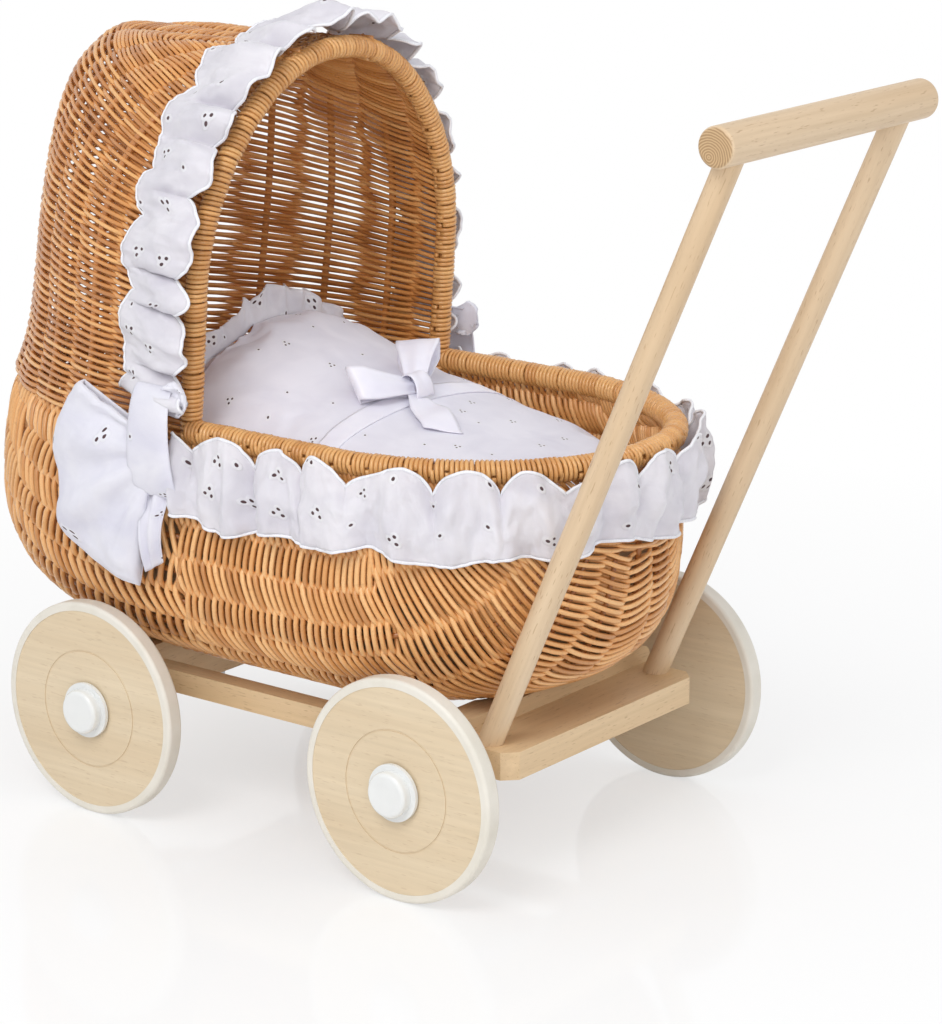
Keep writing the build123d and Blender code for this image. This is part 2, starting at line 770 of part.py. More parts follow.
body_frill = Solid.make_loft(
    [
        wave_wire(body_frill_folds, body_frill_hem_wave, frill_thickness, frill_hem_place),
        wave_wire(body_frill_folds, body_frill_top_wave, frill_thickness, frill_top_place),
    ],
    ruled=True,
)
save(body_frill, "body_frill")


# Frill along the hood, just behind and over the arch
def hood_frill_place(depth, clear):
    def place(share, offset):
        along, across = end_at(
            share, arch_half_width, arch_leg - hood_frill_foot,
            arch_height - arch_leg, arch_turn, clear + offset,
        )
        return on_arch(-across, along + hood_frill_foot, depth)

    return place


front_clear = arch_radius + frill_gap + hood_frill_front_wave
back_clear = hood_cover + hood_crown + frill_gap + hood_frill_back_wave
hood_frill = Solid.make_loft(
    [
        wave_wire(
            hood_frill_folds, hood_frill_back_wave, frill_thickness,
            hood_frill_place(hood_frill_width - hood_frill_overhang, back_clear),
        ),
        wave_wire(
            hood_frill_folds, hood_frill_front_wave, frill_thickness,
            hood_frill_place(-hood_frill_overhang, front_clear),
        ),
    ],
    ruled=True,
)
save(hood_frill, "hood_frill")

# Bow at each arch foot: a knot, a wing toward the hood, a hanging tail and a short lappet
bow_y = basket_half_width + basket_side_bulge + bow_gap
bow_x = arch_foot_x - arch_radius
knot_z = rim_height + knot_rise
for side_name, side_sign in (("left", -1), ("right", 1)):
    out = (0, side_sign, 0)
    wall_y = side_sign * bow_y
    knot = Pos(bow_x, side_sign * (bow_y + bow_thickness / 2), knot_z) * Box(
        knot_length, bow_thickness, knot_height
    )
    bow = fillet(knot.edges(), bow_thickness / 4)
    wing = []
    for share, tall, thick, drop in ((0.0, 0.45, 0.6, 0.0), (0.5, 0.9, 1.0, 0.08), (1.0, 1.0, 0.55, 0.12)):
        place = (bow_x - wing_length * share, wall_y, knot_z - drop * wing_height)
        wing.append(lens(place, tall * wing_height / 2, thick * bow_thickness, (0, 0, 1), out))
    tail = []
    tail_top = knot_z - knot_height / 4
    for share, wide, thick in ((0.0, 0.5, 0.7), (0.5, 0.85, 0.9), (1.0, 1.0, 0.5)):
        place = (bow_x - 0.35 * tail_width * share, wall_y, tail_top - tail_drop * share)
        tail.append(lens(place, wide * tail_width / 2, thick * bow_thickness, (1, 0, 0), out))
    lappet = []
    for share, tall, thick in ((0.0, 0.5, 0.6), (1.0, 0.75, 0.4)):
        place = (bow_x + (frill_start_x - bow_gap - bow_x) * share, wall_y, knot_z)
        lappet.append(lens(place, tall * knot_height / 2, thick * bow_thickness, (0, 0, 1), out))
    for sections in (wing, tail, lappet):
        bow = bow + Solid.make_loft(sections)
    save(bow, "bow_" + side_name)
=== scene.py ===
import math
import random

import bmesh
import bpy
import numpy as np
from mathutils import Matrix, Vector, noise
from mathutils.bvhtree import BVHTree


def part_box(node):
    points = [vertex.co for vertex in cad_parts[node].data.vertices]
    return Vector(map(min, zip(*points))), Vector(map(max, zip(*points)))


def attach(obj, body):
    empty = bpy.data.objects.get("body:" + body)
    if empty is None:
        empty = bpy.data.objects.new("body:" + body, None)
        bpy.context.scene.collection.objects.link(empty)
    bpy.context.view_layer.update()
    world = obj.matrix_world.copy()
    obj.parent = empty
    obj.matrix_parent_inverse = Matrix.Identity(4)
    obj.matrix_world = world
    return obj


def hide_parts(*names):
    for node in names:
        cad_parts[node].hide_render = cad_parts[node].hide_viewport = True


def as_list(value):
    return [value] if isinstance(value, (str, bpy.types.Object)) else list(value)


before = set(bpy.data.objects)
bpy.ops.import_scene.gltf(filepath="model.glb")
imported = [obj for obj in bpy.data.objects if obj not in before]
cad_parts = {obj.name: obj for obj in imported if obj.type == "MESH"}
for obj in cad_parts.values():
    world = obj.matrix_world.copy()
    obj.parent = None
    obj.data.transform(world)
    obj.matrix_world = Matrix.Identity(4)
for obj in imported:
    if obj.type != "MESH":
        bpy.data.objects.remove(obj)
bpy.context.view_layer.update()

# Wheels
# Four solid discs turned from pale beech board, with one fine ring cut in the outer face.
# Each has a cream rubber tyre round its rim, a nylon bush and a glossy white hub cap.
corners = ("handle_left", "handle_right", "hood_left", "hood_right")


def plain_finish(name, roughness):
    material = bpy.data.materials.new(name)
    material.use_nodes = True
    shader = material.node_tree.nodes["Principled BSDF"]
    shader.inputs["Roughness"].default_value = roughness
    return material, material.node_tree, shader


def add_node(tree, kind, links=None, settings=None, **inputs):
    # One shader node: inputs are socket values, links are output sockets that feed it.
    made = tree.nodes.new("ShaderNode" + kind)
    for key, value in (settings or {}).items():
        setattr(made, key, value)
    for key, value in inputs.items():
        made.inputs[key].default_value = value
    for key, source in (links or {}).items():
        tree.links.new(source, made.inputs[key])
    return made


def blend_colours(tree, share, first, second):
    # Colour output that goes from first to second as share goes from 0 to 1.
    made = tree.nodes.new("ShaderNodeMix")
    made.data_type = "RGBA"
    for socket, value in ((made.inputs[0], share), (made.inputs[6], first), (made.inputs[7], second)):
        if isinstance(value, bpy.types.NodeSocket):
            tree.links.new(value, socket)
        else:
            socket.default_value = (*value, 1.0)
    return made.outputs[2]


def ramp(tree, source, low, high):
    # Value that rises from 0 at low to 1 at high.
    made = add_node(tree, "MapRange", {"Value": source}, **{"From Min": low, "From Max": high})
    return made.outputs["Result"]


def work_out(tree, operation, first, second):
    # One sum on two values or sockets.
    made = tree.nodes.new("ShaderNodeMath")
    made.operation = operation
    for socket, value in zip(made.inputs, (first, second)):
        if isinstance(value, bpy.types.NodeSocket):
            tree.links.new(value, socket)
        else:
            socket.default_value = value
    return made.outputs[0]


def object_place(tree):
    return add_node(tree, "TexCoord").outputs["Object"]


def stretched(tree, place, scale):
    return add_node(tree, "Mapping", {"Vector": place}, Scale=scale).outputs["Vector"]


def cloudy(tree, place, scale, detail):
    # Soft noise, with about so many clouds to the metre.
    return add_node(tree, "TexNoise", {"Vector": place}, Scale=scale, Detail=detail).outputs["Fac"]


def lay_on(tree, shader, colour, roughness, height, strength, depth):
    # Join the colour, roughness and relief of a surface to its shader.
    tree.links.new(colour, shader.inputs["Base Color"])
    tree.links.new(roughness, shader.inputs["Roughness"])
    bump = add_node(tree, "Bump", {"Height": height}, Strength=strength, Distance=depth)
    tree.links.new(bump.outputs["Normal"], shader.inputs["Normal"])


def beech(name, grain_turn, pale, deep, fleck_strength=0.5):
    # Clear-coated beech: long pale bands, finer streaks and the short brown flecks of the wood.
    material, tree, shader = plain_finish(name, 0.42)
    place = object_place(tree)

    def grain(across, along, detail):
        turned = add_node(tree, "Mapping", {"Vector": place}, {"vector_type": "TEXTURE"}, Rotation=grain_turn)
        turned.inputs["Scale"].default_value = (1 / across, 1 / across, 1 / along)
        lines = add_node(tree, "TexNoise", {"Vector": turned.outputs["Vector"]}, Scale=1.0, Detail=detail)
        lines.inputs["Roughness"].default_value = 0.6
        return lines.outputs["Fac"]

    bands = ramp(tree, grain(26.0, 2.2, 3.0), 0.3, 0.7)
    streaks = ramp(tree, grain(240.0, 7.0, 4.0), 0.3, 0.7)
    flecks = ramp(tree, grain(900.0, 110.0, 1.0), 0.64, 0.74)
    wood = blend_colours(tree, bands, deep, pale)
    darker = tuple(0.8 * value for value in deep)
    wood = blend_colours(tree, work_out(tree, "MULTIPLY", streaks, 0.45), wood, darker)
    fleck_brown = (0.36, 0.2, 0.09)
    wood = blend_colours(tree, work_out(tree, "MULTIPLY", flecks, fleck_strength), wood, fleck_brown)
    shader.inputs["Coat Weight"].default_value = 0.15
    shader.inputs["Coat Roughness"].default_value = 0.3
    lay_on(tree, shader, wood, ramp(tree, streaks, -2.2, 3.2), streaks, 0.12, 0.0004)
    return material


def moulded(name, colour, worn, roughness, coat):
    # Moulded rubber or plastic with faint cloudy wear and a fine skin.
    material, tree, shader = plain_finish(name, roughness)
    clouds = cloudy(tree, object_place(tree), 38.0, 5.0)
    skin = cloudy(tree, object_place(tree), 900.0, 2.0)
    mixed = blend_colours(tree, ramp(tree, clouds, 0.4, 0.75), colour, worn)
    dullness = work_out(tree, "ADD", work_out(tree, "MULTIPLY", clouds, 0.2), roughness - 0.1)
    shader.inputs["Coat Weight"].default_value = coat
    lay_on(tree, shader, mixed, dullness, skin, 0.08, 0.0003)
    return material


def finish_nodes(material, node_names):
    for node_name in node_names:
        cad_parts[node_name].material_slots[0].material = material


along_x = (0.0, math.radians(90), 0.0)
along_y = (math.radians(-90), 0.0, 0.0)
disc_wood = beech("beech_disc", along_x, (0.79, 0.66, 0.47), (0.71, 0.56, 0.37), 0.22)
tyre_rubber = moulded("tyre_cream", (0.79, 0.75, 0.67), (0.71, 0.67, 0.58), 0.5, 0.0)
cap_plastic = moulded("cap_gloss_white", (0.8, 0.81, 0.8), (0.74, 0.75, 0.74), 0.2, 0.3)
nylon = moulded("nylon_natural", (0.72, 0.71, 0.66), (0.62, 0.6, 0.54), 0.5, 0.0)
finish_nodes(disc_wood, ["wheel_disc_" + corner for corner in corners])
finish_nodes(tyre_rubber, ["wheel_tyre_" + corner for corner in corners])
finish_nodes(nylon, ["wheel_bush_" + corner for corner in corners] + ["axle_spacers"])
finish_nodes(cap_plastic, ["hub_cap_" + corner for corner in corners])

# Axles and their fixings
# Two plain steel rods lie in grooves under the bearers, held by flat straps and screws.
# More screws go up through the bearers into the bottom of the basket.


def bright_steel(name):
    # Drawn steel with fine lines along it.
    material, tree, shader = plain_finish(name, 0.35)
    lines = cloudy(tree, stretched(tree, object_place(tree), (700.0, 20.0, 700.0)), 1.0, 3.0)
    steel = blend_colours(tree, lines, (0.52, 0.53, 0.55), (0.68, 0.69, 0.7))
    shader.inputs["Metallic"].default_value = 1.0
    lay_on(tree, shader, steel, ramp(tree, lines, -0.8, 2.2), lines, 0.05, 0.0002)
    return material


steel_nodes = ["axle_handle_end", "axle_hood_end", "axle_straps", "strap_screws", "basket_screws"]
finish_nodes(bright_steel("steel_bright"), steel_nodes)

# Undercarriage and handle
# Sawn beech bearers and rails are dowelled together, with a board at the handle end.
# Two turned posts stand in the board and carry a thicker round push bar.
post_reach = 0.18345
post_rise = 0.415
post_lean = math.atan2(post_reach, post_rise)
pale_beech = (0.78, 0.61, 0.42)
deep_beech = (0.68, 0.49, 0.3)
frame_pale = (0.8, 0.6, 0.37)
frame_deep = (0.7, 0.49, 0.27)
finish_nodes(beech("beech_across", along_y, frame_pale, frame_deep), ["handle_end_bearer", "hood_end_bearer"])
finish_nodes(beech("beech_board", along_y, frame_pale, frame_deep), ["handle_board"])
rail_nodes = ["side_rail_left", "side_rail_right", "frame_dowels"]
finish_nodes(beech("beech_rail", along_x, frame_pale, frame_deep), rail_nodes)
post_wood = beech("beech_post", (0.0, post_lean, 0.0), pale_beech, deep_beech)
finish_nodes(post_wood, ["handle_post_left", "handle_post_right"])
bar_wood = beech("beech_bar", along_y, pale_beech, deep_beech)
bar_low, bar_high = (np.array(corner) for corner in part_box("handle_bar"))


def end_grain(material, middle, half_length):
    # Sawn ends: darker wood with the rings of the tree.
    tree = material.node_tree
    shader = tree.nodes["Principled BSDF"]
    wood = shader.inputs["Base Color"].links[0].from_socket
    place = object_place(tree)
    centred = add_node(tree, "Mapping", {"Vector": place}, Scale=(1.0, 0.0, 1.0))
    centred.inputs["Location"].default_value = (0.004 - middle[0], 0.0, 0.006 - middle[2])
    ringed = {"wave_type": "RINGS", "rings_direction": "Y"}
    from_heart = {"Vector": centred.outputs["Vector"]}
    ring_wave = add_node(tree, "TexWave", from_heart, ringed, Scale=190.0, Distortion=2.0, Detail=2.0)
    rings = ring_wave.outputs["Fac"]
    sideways = add_node(tree, "SeparateXYZ", {"Vector": place}).outputs["Y"]
    along = add_node(tree, "Math", {0: sideways}, {"operation": "ABSOLUTE"}).outputs[0]
    at_end = ramp(tree, along, half_length - 0.0012, half_length - 0.0004)
    cut = blend_colours(tree, rings, (0.34, 0.2, 0.09), (0.58, 0.4, 0.22))
    tree.links.new(blend_colours(tree, at_end, wood, cut), shader.inputs["Base Color"])


end_grain(bar_wood, (bar_low + bar_high) / 2, bar_high[1])
finish_nodes(bar_wood, ["handle_bar"])

# Basket body
# Peeled and varnished willow rods are woven round lengthwise ribs, from rim to rim under the keel.
# The rows stand upright along the sides and fan round to lie flat across the two ends.
rim_z = 0.282
basket_depth = 0.18
basket_half_width = 0.1395
basket_front = 0.221
basket_back = 0.2626
arch_x = -0.057
front_turn = math.radians(45)
back_turn = math.radians(40)
front_straight_share = 0.28
back_straight_share = 0.115
rod_thickness = 0.0039
rod_pitch = 0.0031
front_spacing = ((0.35, 0.7), (0.0031, 0.0026))
back_spacing = ((0.02, 0.2, 0.6, 0.8), (0.0038, 0.0054, 0.0056, 0.0038))
rod_inset = 0.0034
rod_rise = 0.0013
rod_dip = 0.0044
rod_slant = 0.0027
most_slant = 1.35
most_width = 1.08
rod_step = 0.0046
tuck_reach = 0.01
rib_thickness = 0.0044
rib_depth = 0.0064
rib_count = 24
rib_step = 0.009
basket_middle = (-0.05, 0.0, 0.22)
draw = random.Random(11)


def end_radii(half_width, reach, turn):
    # Radii of the side arc and the tip arc that round off one end of an outline.
    c = math.cos(turn)
    s = math.sin(turn)
    scale = c * s - (1 - c) * (1 - s)
    return (c * reach - (1 - s) * half_width) / scale, (s * half_width - (1 - c) * reach) / scale


def end_width(along, half_width, straight, reach, turn, offset=0.0):
    # Half-width of an outline at places along it, moved outward by offset.
    side, tip = end_radii(half_width, reach, turn)
    past = along - straight
    on_side = half_width - side + np.sqrt(np.maximum((side + offset) ** 2 - past ** 2, 0))
    on_tip = np.sqrt(np.maximum((tip + offset) ** 2 - (past - (side - tip) * np.sin(turn)) ** 2, 0))
    curved = np.where(past <= (side + offset) * np.sin(turn), on_side, on_tip)
    return np.where(past <= 0, half_width + offset, curved)


def end_point(share, half_width, straight, reach, turn, offset=0.0):
    # Point (along, across) at a share of the way from the start of the straight to the tip.
    side, tip = end_radii(half_width, reach, turn)
    walked = share * (straight + side * turn + tip * (math.pi / 2 - turn))
    if walked <= straight:
        return walked, half_width + offset
    if walked <= straight + side * turn:
        angle = (walked - straight) / side
        along = straight + (side + offset) * math.sin(angle)
        return along, half_width - side + (side + offset) * math.cos(angle)
    angle = turn + (walked - straight - side * turn) / tip
    along = straight + (side - tip) * math.sin(turn) + (tip + offset) * math.sin(angle)
    return along, (tip + offset) * math.cos(angle)


def basket_sizes(share):
    # Half-width, front reach and back reach of the basket at a share of its depth.
    swell = np.sin(np.pi * share)
    d = 0.98 * share
    half_width = (basket_half_width + 0.013 * swell) * (1 - d ** 6.0) ** (1 / 2.9)
    front = basket_front * (1 - d ** 5.5) ** (1 / 3.0)
    back = (basket_back + 0.009 * swell) * (1 - d ** 7.5) ** (1 / 3.1)
    return half_width, front, back


def basket_width(x, z):
    # Half-width of the basket at places (x, z) on its side.
    half_width, front, back = basket_sizes(np.clip((rim_z - z) / basket_depth, 0, 1))
    front_straight = front_straight_share * front
    back_straight = back_straight_share * back
    ahead = end_width(x, half_width, front_straight, front - front_straight, front_turn)
    behind = end_width(arch_x - x, half_width, back_straight, back - back_straight, back_turn)
    return np.where(x > 0, ahead, np.where(x < arch_x, behind, half_width))


def walk(points):
    # Distance from the start of a line at each of its points.
    steps = np.linalg.norm(np.diff(points, axis=0), axis=1)
    return np.concatenate(([0], np.cumsum(steps)))


def places_at(points, at):
    # Places at given distances along a line.
    walked = walk(points)
    return np.stack([np.interp(at, walked, values) for values in points.T], axis=-1)


def evenly(points, count):
    # The same line with count points, evenly spaced along it.
    return places_at(points, np.linspace(0, walk(points)[-1], count))


def line_at(points, share):
    # Point at a share of the length of a line.
    return places_at(points, share * walk(points)[-1])


def unit(vectors):
    # The same directions with a length of 1.
    return vectors / np.maximum(np.linalg.norm(vectors, axis=-1, keepdims=True), 1e-12)


def both_sides(near):
    # A line on the near side, carried on over the middle by its mirror image.
    return np.concatenate((near, near[::-1][1:] * np.array((1, -1, 1))))


def slice_line(start, end, width_of, count):
    # Line round the surface from one side to the other, in the plane through two (x, z) points.
    share = 1 - (1 - np.linspace(0, 1, 240)) ** 2
    x = start[0] + (end[0] - start[0]) * share
    z = start[1] + (end[1] - start[1]) * share
    y = width_of(x, z)
    flat = np.linspace(1, 0, 40)[1:]
    x = np.concatenate((x, np.full(flat.shape, end[0])))
    z = np.concatenate((z, np.full(flat.shape, end[1])))
    y = np.concatenate((y, y[-1] * flat))
    line = evenly(both_sides(np.stack((x, -y, z), axis=1)), count)
    for _ in range(6):
        line[1:-1] = 0.25 * line[:-2] + 0.5 * line[1:-1] + 0.25 * line[2:]
    return line


def outward(grid, centre):
    # Unit normals of a grid of surface points, pointing away from centre.
    normal = unit(np.cross(np.gradient(grid, axis=0), np.gradient(grid, axis=1)))
    facing = np.sum(normal * (grid - np.array(centre)), axis=2, keepdims=True)
    return normal * np.where(facing < 0, -1.0, 1.0)


def add_object(name, data):
    made = bpy.data.objects.new(name, data)
    bpy.context.collection.objects.link(made)
    return made


def woven_piece(name, strands, thickness, material):
    # Round rods along the given lines, as one mesh with each rod's tone and length along it.
    line = bpy.data.curves.new(name, "CURVE")
    line.dimensions = "3D"
    line.bevel_depth = thickness / 2
    line.bevel_resolution = 1
    for points, tone, width in strands:
        spline = line.splines.new("POLY")
        spline.points.add(len(points) - 1)
        spline.points.foreach_set("co", np.column_stack((points, np.ones(len(points)))).ravel())
        spline.points.foreach_set("radius", np.full(len(points), width))
    carrier = add_object(name, line)
    depsgraph = bpy.context.evaluated_depsgraph_get()
    mesh = bpy.data.meshes.new_from_object(carrier.evaluated_get(depsgraph))
    bpy.data.objects.remove(carrier)
    ring = len(mesh.vertices) // sum(len(points) for points, _, _ in strands)
    tones = []
    runs = []
    for points, tone, _ in strands:
        tones.append(np.full(len(points) * ring, tone))
        runs.append(np.repeat(walk(points) + 3 * tone, ring))
    for attribute, values in (("tone", tones), ("run", runs)):
        layer = mesh.attributes.new(attribute, "FLOAT", "POINT")
        layer.data.foreach_set("value", np.concatenate(values))
    shape = bmesh.new()
    shape.from_mesh(mesh)
    open_ends = [edge for edge in shape.edges if edge.is_boundary]
    bmesh.ops.holes_fill(shape, edges=open_ends, sides=ring)
    shape.to_mesh(mesh)
    shape.free()
    mesh.shade_smooth()
    mesh.materials.clear()
    mesh.materials.append(material)
    piece = add_object(name, mesh)
    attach(piece, "pram")
    return piece


def willow(name, deep, mid, pale, gloss):
    # Varnished willow: each rod has its own tone, cloudy along its length, with fine bark lines; tones below
    # zero give painted shade.
    material, tree, shader = plain_finish(name, gloss)
    tone, run = (
        add_node(tree, "Attribute", settings={"attribute_name": kind}).outputs["Fac"]
        for kind in ("tone", "run")
    )
    along = add_node(tree, "CombineXYZ", {"X": run, "Y": tone}).outputs["Vector"]
    clouds = cloudy(tree, stretched(tree, along, (28.0, 60.0, 1.0)), 1.0, 4.0)
    bark = cloudy(tree, object_place(tree), 420.0, 3.0)
    tone_and_rib_shade = work_out(tree, "MULTIPLY", tone, 0.6)
    share = work_out(tree, "ADD", tone_and_rib_shade, work_out(tree, "MULTIPLY", clouds, 0.4))
    low = blend_colours(tree, ramp(tree, share, 0.15, 0.5), deep, mid)
    rod = blend_colours(tree, ramp(tree, share, 0.45, 0.85), low, pale)
    rod = blend_colours(tree, work_out(tree, "MULTIPLY", ramp(tree, bark, 0.55, 0.75), 0.3), rod, deep)
    shader.inputs["Coat Weight"].default_value = 0.25
    shader.inputs["Coat Roughness"].default_value = 0.25
    dullness = ramp(tree, bark, 0.5 - 2 * gloss, 2.6 - 2 * gloss)
    lay_on(tree, shader, rod, dullness, bark, 0.15, 0.0003)
    return material


body_willow = willow("willow_body", (0.4, 0.15, 0.038), (0.77, 0.375, 0.125), (0.92, 0.56, 0.255), 0.36)
profile_share = np.linspace(1, 0, 160)
_, keel_front, keel_back = basket_sizes(profile_share)
profile_z = rim_z - basket_depth * profile_share


def keel_line(profile_x):
    # The lowest line of one half of the basket, from under the arch to the rim.
    start = np.array([[arch_x, rim_z - basket_depth]])
    return np.concatenate((start, np.stack((profile_x, profile_z), axis=1)))


def front_rim(share):
    straight = front_straight_share * basket_front
    along, _ = end_point(share, basket_half_width, straight - arch_x, basket_front - straight, front_turn)
    return np.array((arch_x + along, rim_z))


def back_rim(share):
    straight = back_straight_share * basket_back
    along, _ = end_point(share, basket_half_width, straight, basket_back - straight, back_turn)
    return np.array((arch_x - along, rim_z))


def front_lead(share):
    # The lower end of a row runs ahead of its upper end toward the handle end.
    return share + 0.18 * np.sin(np.pi * np.clip((share - 0.3) / 0.7, 0, 1)) ** 2


def back_lead(share):
    return share ** 1.25


def basket_half(rim_at, keel, lead, last_share, spacing):
    # Rows of one half of the basket from the arch foot to near the tip, spaced by the gap square to them.
    trial = np.linspace(0, last_share, 300)
    sample = np.array([slice_line(rim_at(s), line_at(keel, lead(s)), basket_width, 80) for s in trial])
    along = unit(np.gradient(sample, axis=1)[1:])
    step = np.diff(sample, axis=0)
    gap = np.linalg.norm(step - along * np.sum(step * along, axis=2, keepdims=True), axis=2)
    pitch = np.interp(trial[1:], *spacing)
    walked = np.concatenate(([0], np.cumsum(np.percentile(gap, 60, axis=1) / pitch)))
    shares = np.interp(np.arange(int(walked[-1])), walked, trial)
    grid = [slice_line(rim_at(s), line_at(keel, lead(s)), basket_width, 260) for s in shares]
    return shares, np.array(grid)


def held_swing(angle):
    # Cosine with broad crests, as a rod lies straight over a rib before it dips.
    wave = np.cos(angle)
    return wave * np.sqrt(1.2 / (wave ** 2 + 0.2))


def zigzag(angle):
    # Even to-and-fro between -1 and 1.
    return 2 / np.pi * np.arcsin(np.sin(angle))


def sway(share, limits):
    # How many ribs a row crosses: every other rib ends before the tip.
    for limit, crossings in limits:
        if share <= limit:
            return crossings
    return limits[-1][1]


def weave_half(side_name, end_name, rim_at, keel, lead, last_share, spacing, limits, tuck):
    # Rods and ribs of one half of the basket, as a side piece and an end piece.
    shares, grid = basket_half(rim_at, keel, lead, last_share, spacing)
    normal = outward(grid, basket_middle)
    sideways = unit(np.gradient(grid, axis=0))
    girth = np.linspace(0, 1, grid.shape[1])
    strands = []
    for i, share in enumerate(shares):
        length = walk(grid[i])[-1]
        crossings = sway(share, limits)
        openness = np.interp(share, *spacing) / rod_pitch
        wobble = draw.uniform(-0.12, 0.12)
        swing = held_swing(np.pi * (crossings * girth + i % 2) + wobble)
        slant = rod_slant * min(openness, most_slant) * zigzag(np.pi * crossings * girth)
        from_rim = np.minimum(girth, 1 - girth) * length
        tucked = tuck * np.exp(-from_rim / tuck_reach)
        offset = np.where(swing > 0, rod_rise, rod_dip) * swing - rod_inset - tucked
        line = grid[i] + normal[i] * offset[:, None] + sideways[i] * slant[:, None]
        points = evenly(line, max(int(length / rod_step), 12))
        width = min(openness, most_width) * draw.uniform(0.94, 1.06)
        strands.append((points, 0.2 + 0.7 * draw.random(), width))
    for k in range(1, rib_count):
        reach = max(limit for limit, crossings in limits if k % (rib_count // crossings) == 0)
        column = int(round(k / rib_count * (grid.shape[1] - 1)))
        rows = shares <= reach + 0.01
        points = (grid - normal * rib_depth)[rows, column]
        count = max(int(walk(points)[-1] / rib_step), 6)
        # Painted shade: ribs get a tone below the rods' range, so they show the deep colour in the slots
        # between rows.
        strands.append((evenly(points, count), -0.5, rib_thickness / rod_thickness))
    split = len(shares) // 2
    woven_piece(end_name, strands[split:], rod_thickness, body_willow)
    return woven_piece(side_name, strands[:split], rod_thickness, body_willow)


front_limits = ((0.42, 24), (0.66, 12), (1.0, 6))
back_limits = ((0.6, 24), (0.86, 12), (1.0, 6))
body_side = weave_half(
    "body_weave_side", "body_weave_handle_end", front_rim, keel_line(keel_front),
    front_lead, 0.975, front_spacing, front_limits, 0.0,
)
weave_half(
    "body_weave_under_hood", "body_weave_hood_end", back_rim, keel_line(arch_x - keel_back),
    back_lead, 0.99, back_spacing, back_limits, 0.009,
)
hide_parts("basket_body")

# Basket rim
# A thick rod runs round the open end of the basket from arch foot to arch foot.
# Split cane is wound tightly round it, side by side, in short lengths.
rim_half_width = 0.136
rim_straight = 0.06188
rim_reach = 0.15562
rim_radius = 0.009
cane_thickness = 0.0033
cane_pitch = 0.0031


def wound_rod(name, line, across, radius, material):
    # Cane wound round a line of points; across holds a unit vector at each point, square to the line.
    walked = walk(line)
    ways = np.hstack((line, across, np.cross(unit(np.gradient(line, axis=0)), across)))
    strands = []
    start = 0.0
    while start < walked[-1] - 2 * cane_pitch:
        turns = min(draw.randint(2, 4), (walked[-1] - start) / cane_pitch)
        share = np.linspace(0, 1, int(turns * 12))
        at = start + share * turns * cane_pitch
        angle = 2 * np.pi * turns * share + draw.uniform(-0.4, 0.4)
        found = np.stack([np.interp(at, walked, values) for values in ways.T], axis=1)
        middle, side, rise = np.hsplit(found, 3)
        bed = radius - cane_thickness / 2 + draw.uniform(-0.0003, 0.0002)
        points = middle + bed * (np.cos(angle)[:, None] * side + np.sin(angle)[:, None] * rise)
        strands.append((points, 0.42 + 0.33 * draw.random(), draw.uniform(0.9, 1.0)))
        start += turns * cane_pitch + draw.uniform(0.0, 0.0009)
    strands.append((line[::4], 0.1, 2 * (radius - cane_thickness) / cane_thickness))
    return woven_piece(name, strands, cane_thickness, material)


cane = willow("cane_wound", (0.42, 0.17, 0.045), (0.66, 0.32, 0.1), (0.84, 0.5, 0.2), 0.33)
rim_half = [
    end_point(s, rim_half_width, rim_straight - arch_x, rim_reach, front_turn) for s in np.linspace(0, 1, 220)
]
rim_line = both_sides(np.array([(arch_x + along, -across, rim_z) for along, across in rim_half]))
rim_across = unit(np.cross(np.gradient(rim_line, axis=0), (0.0, 0.0, 1.0)))
basket_rim = wound_rod("rim_winding", rim_line, rim_across, rim_radius, cane)
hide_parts("basket_rim")

# Hood
# Thinner willow is woven round upright stakes, from one leg of the arch round the back to the other.
# The rows lie flat at the bottom and tilt forward over the dome, with slits of light between them.
arch_lean = math.radians(4.2)
arch_half_width = 0.134
arch_leg = 0.09
arch_height = 0.244
arch_turn = math.radians(45)
arch_radius = 0.008
hood_cover = 0.004
hood_top = arch_height + hood_cover
hood_top_share = 0.975
hood_rows = 152
hood_rod = 0.0031
hood_pairing = 0.0007
hood_inset = 0.0038
hood_sway = 0.0024
hood_stakes = 12
hood_step = 0.006
hood_middle = (-0.12, 0.0, 0.33)
hood_base_levels = (0.274, 0.2762, 0.2784, 0.2806)


def hood_level(share):
    # Height at a share of the way up, with the crown a little raised.
    return rim_z + hood_top * share + 0.005 * share ** 12


def hood_profile(share):
    # Half-width, depth behind the arch and straight length of the hood at a share of its height.
    up = hood_top * share
    half_width = end_width(up, arch_half_width, arch_leg, arch_height - arch_leg, arch_turn, hood_cover)
    depth = 0.2468 - 0.0205 * share + 0.0158 * np.exp(-share / 0.1)
    depth = depth * (1 - share ** 11.6) ** (1 / 8.3)
    return half_width, depth, depth * (back_straight_share + 0.45 * share ** 4)


level_shares = np.linspace(0, hood_top_share, 500)
level_heights = hood_level(level_shares)


def hood_front(z):
    return arch_x + math.tan(arch_lean) * (z - rim_z)


def hood_width(x, z):
    half_width, depth, straight = hood_profile(np.interp(z, level_heights, level_shares))
    return end_width(np.maximum(hood_front(z) - x, 0), half_width, straight, depth - straight, back_turn)


def arch_foot(share):
    # Place (x, z) on the hood's front edge at a share of the way from foot to top.
    up, _ = end_point(share, arch_half_width, arch_leg, arch_height - arch_leg, arch_turn, hood_cover)
    z = rim_z + up * math.cos(arch_lean)
    return np.array((hood_front(z), min(z, level_heights[-1])))


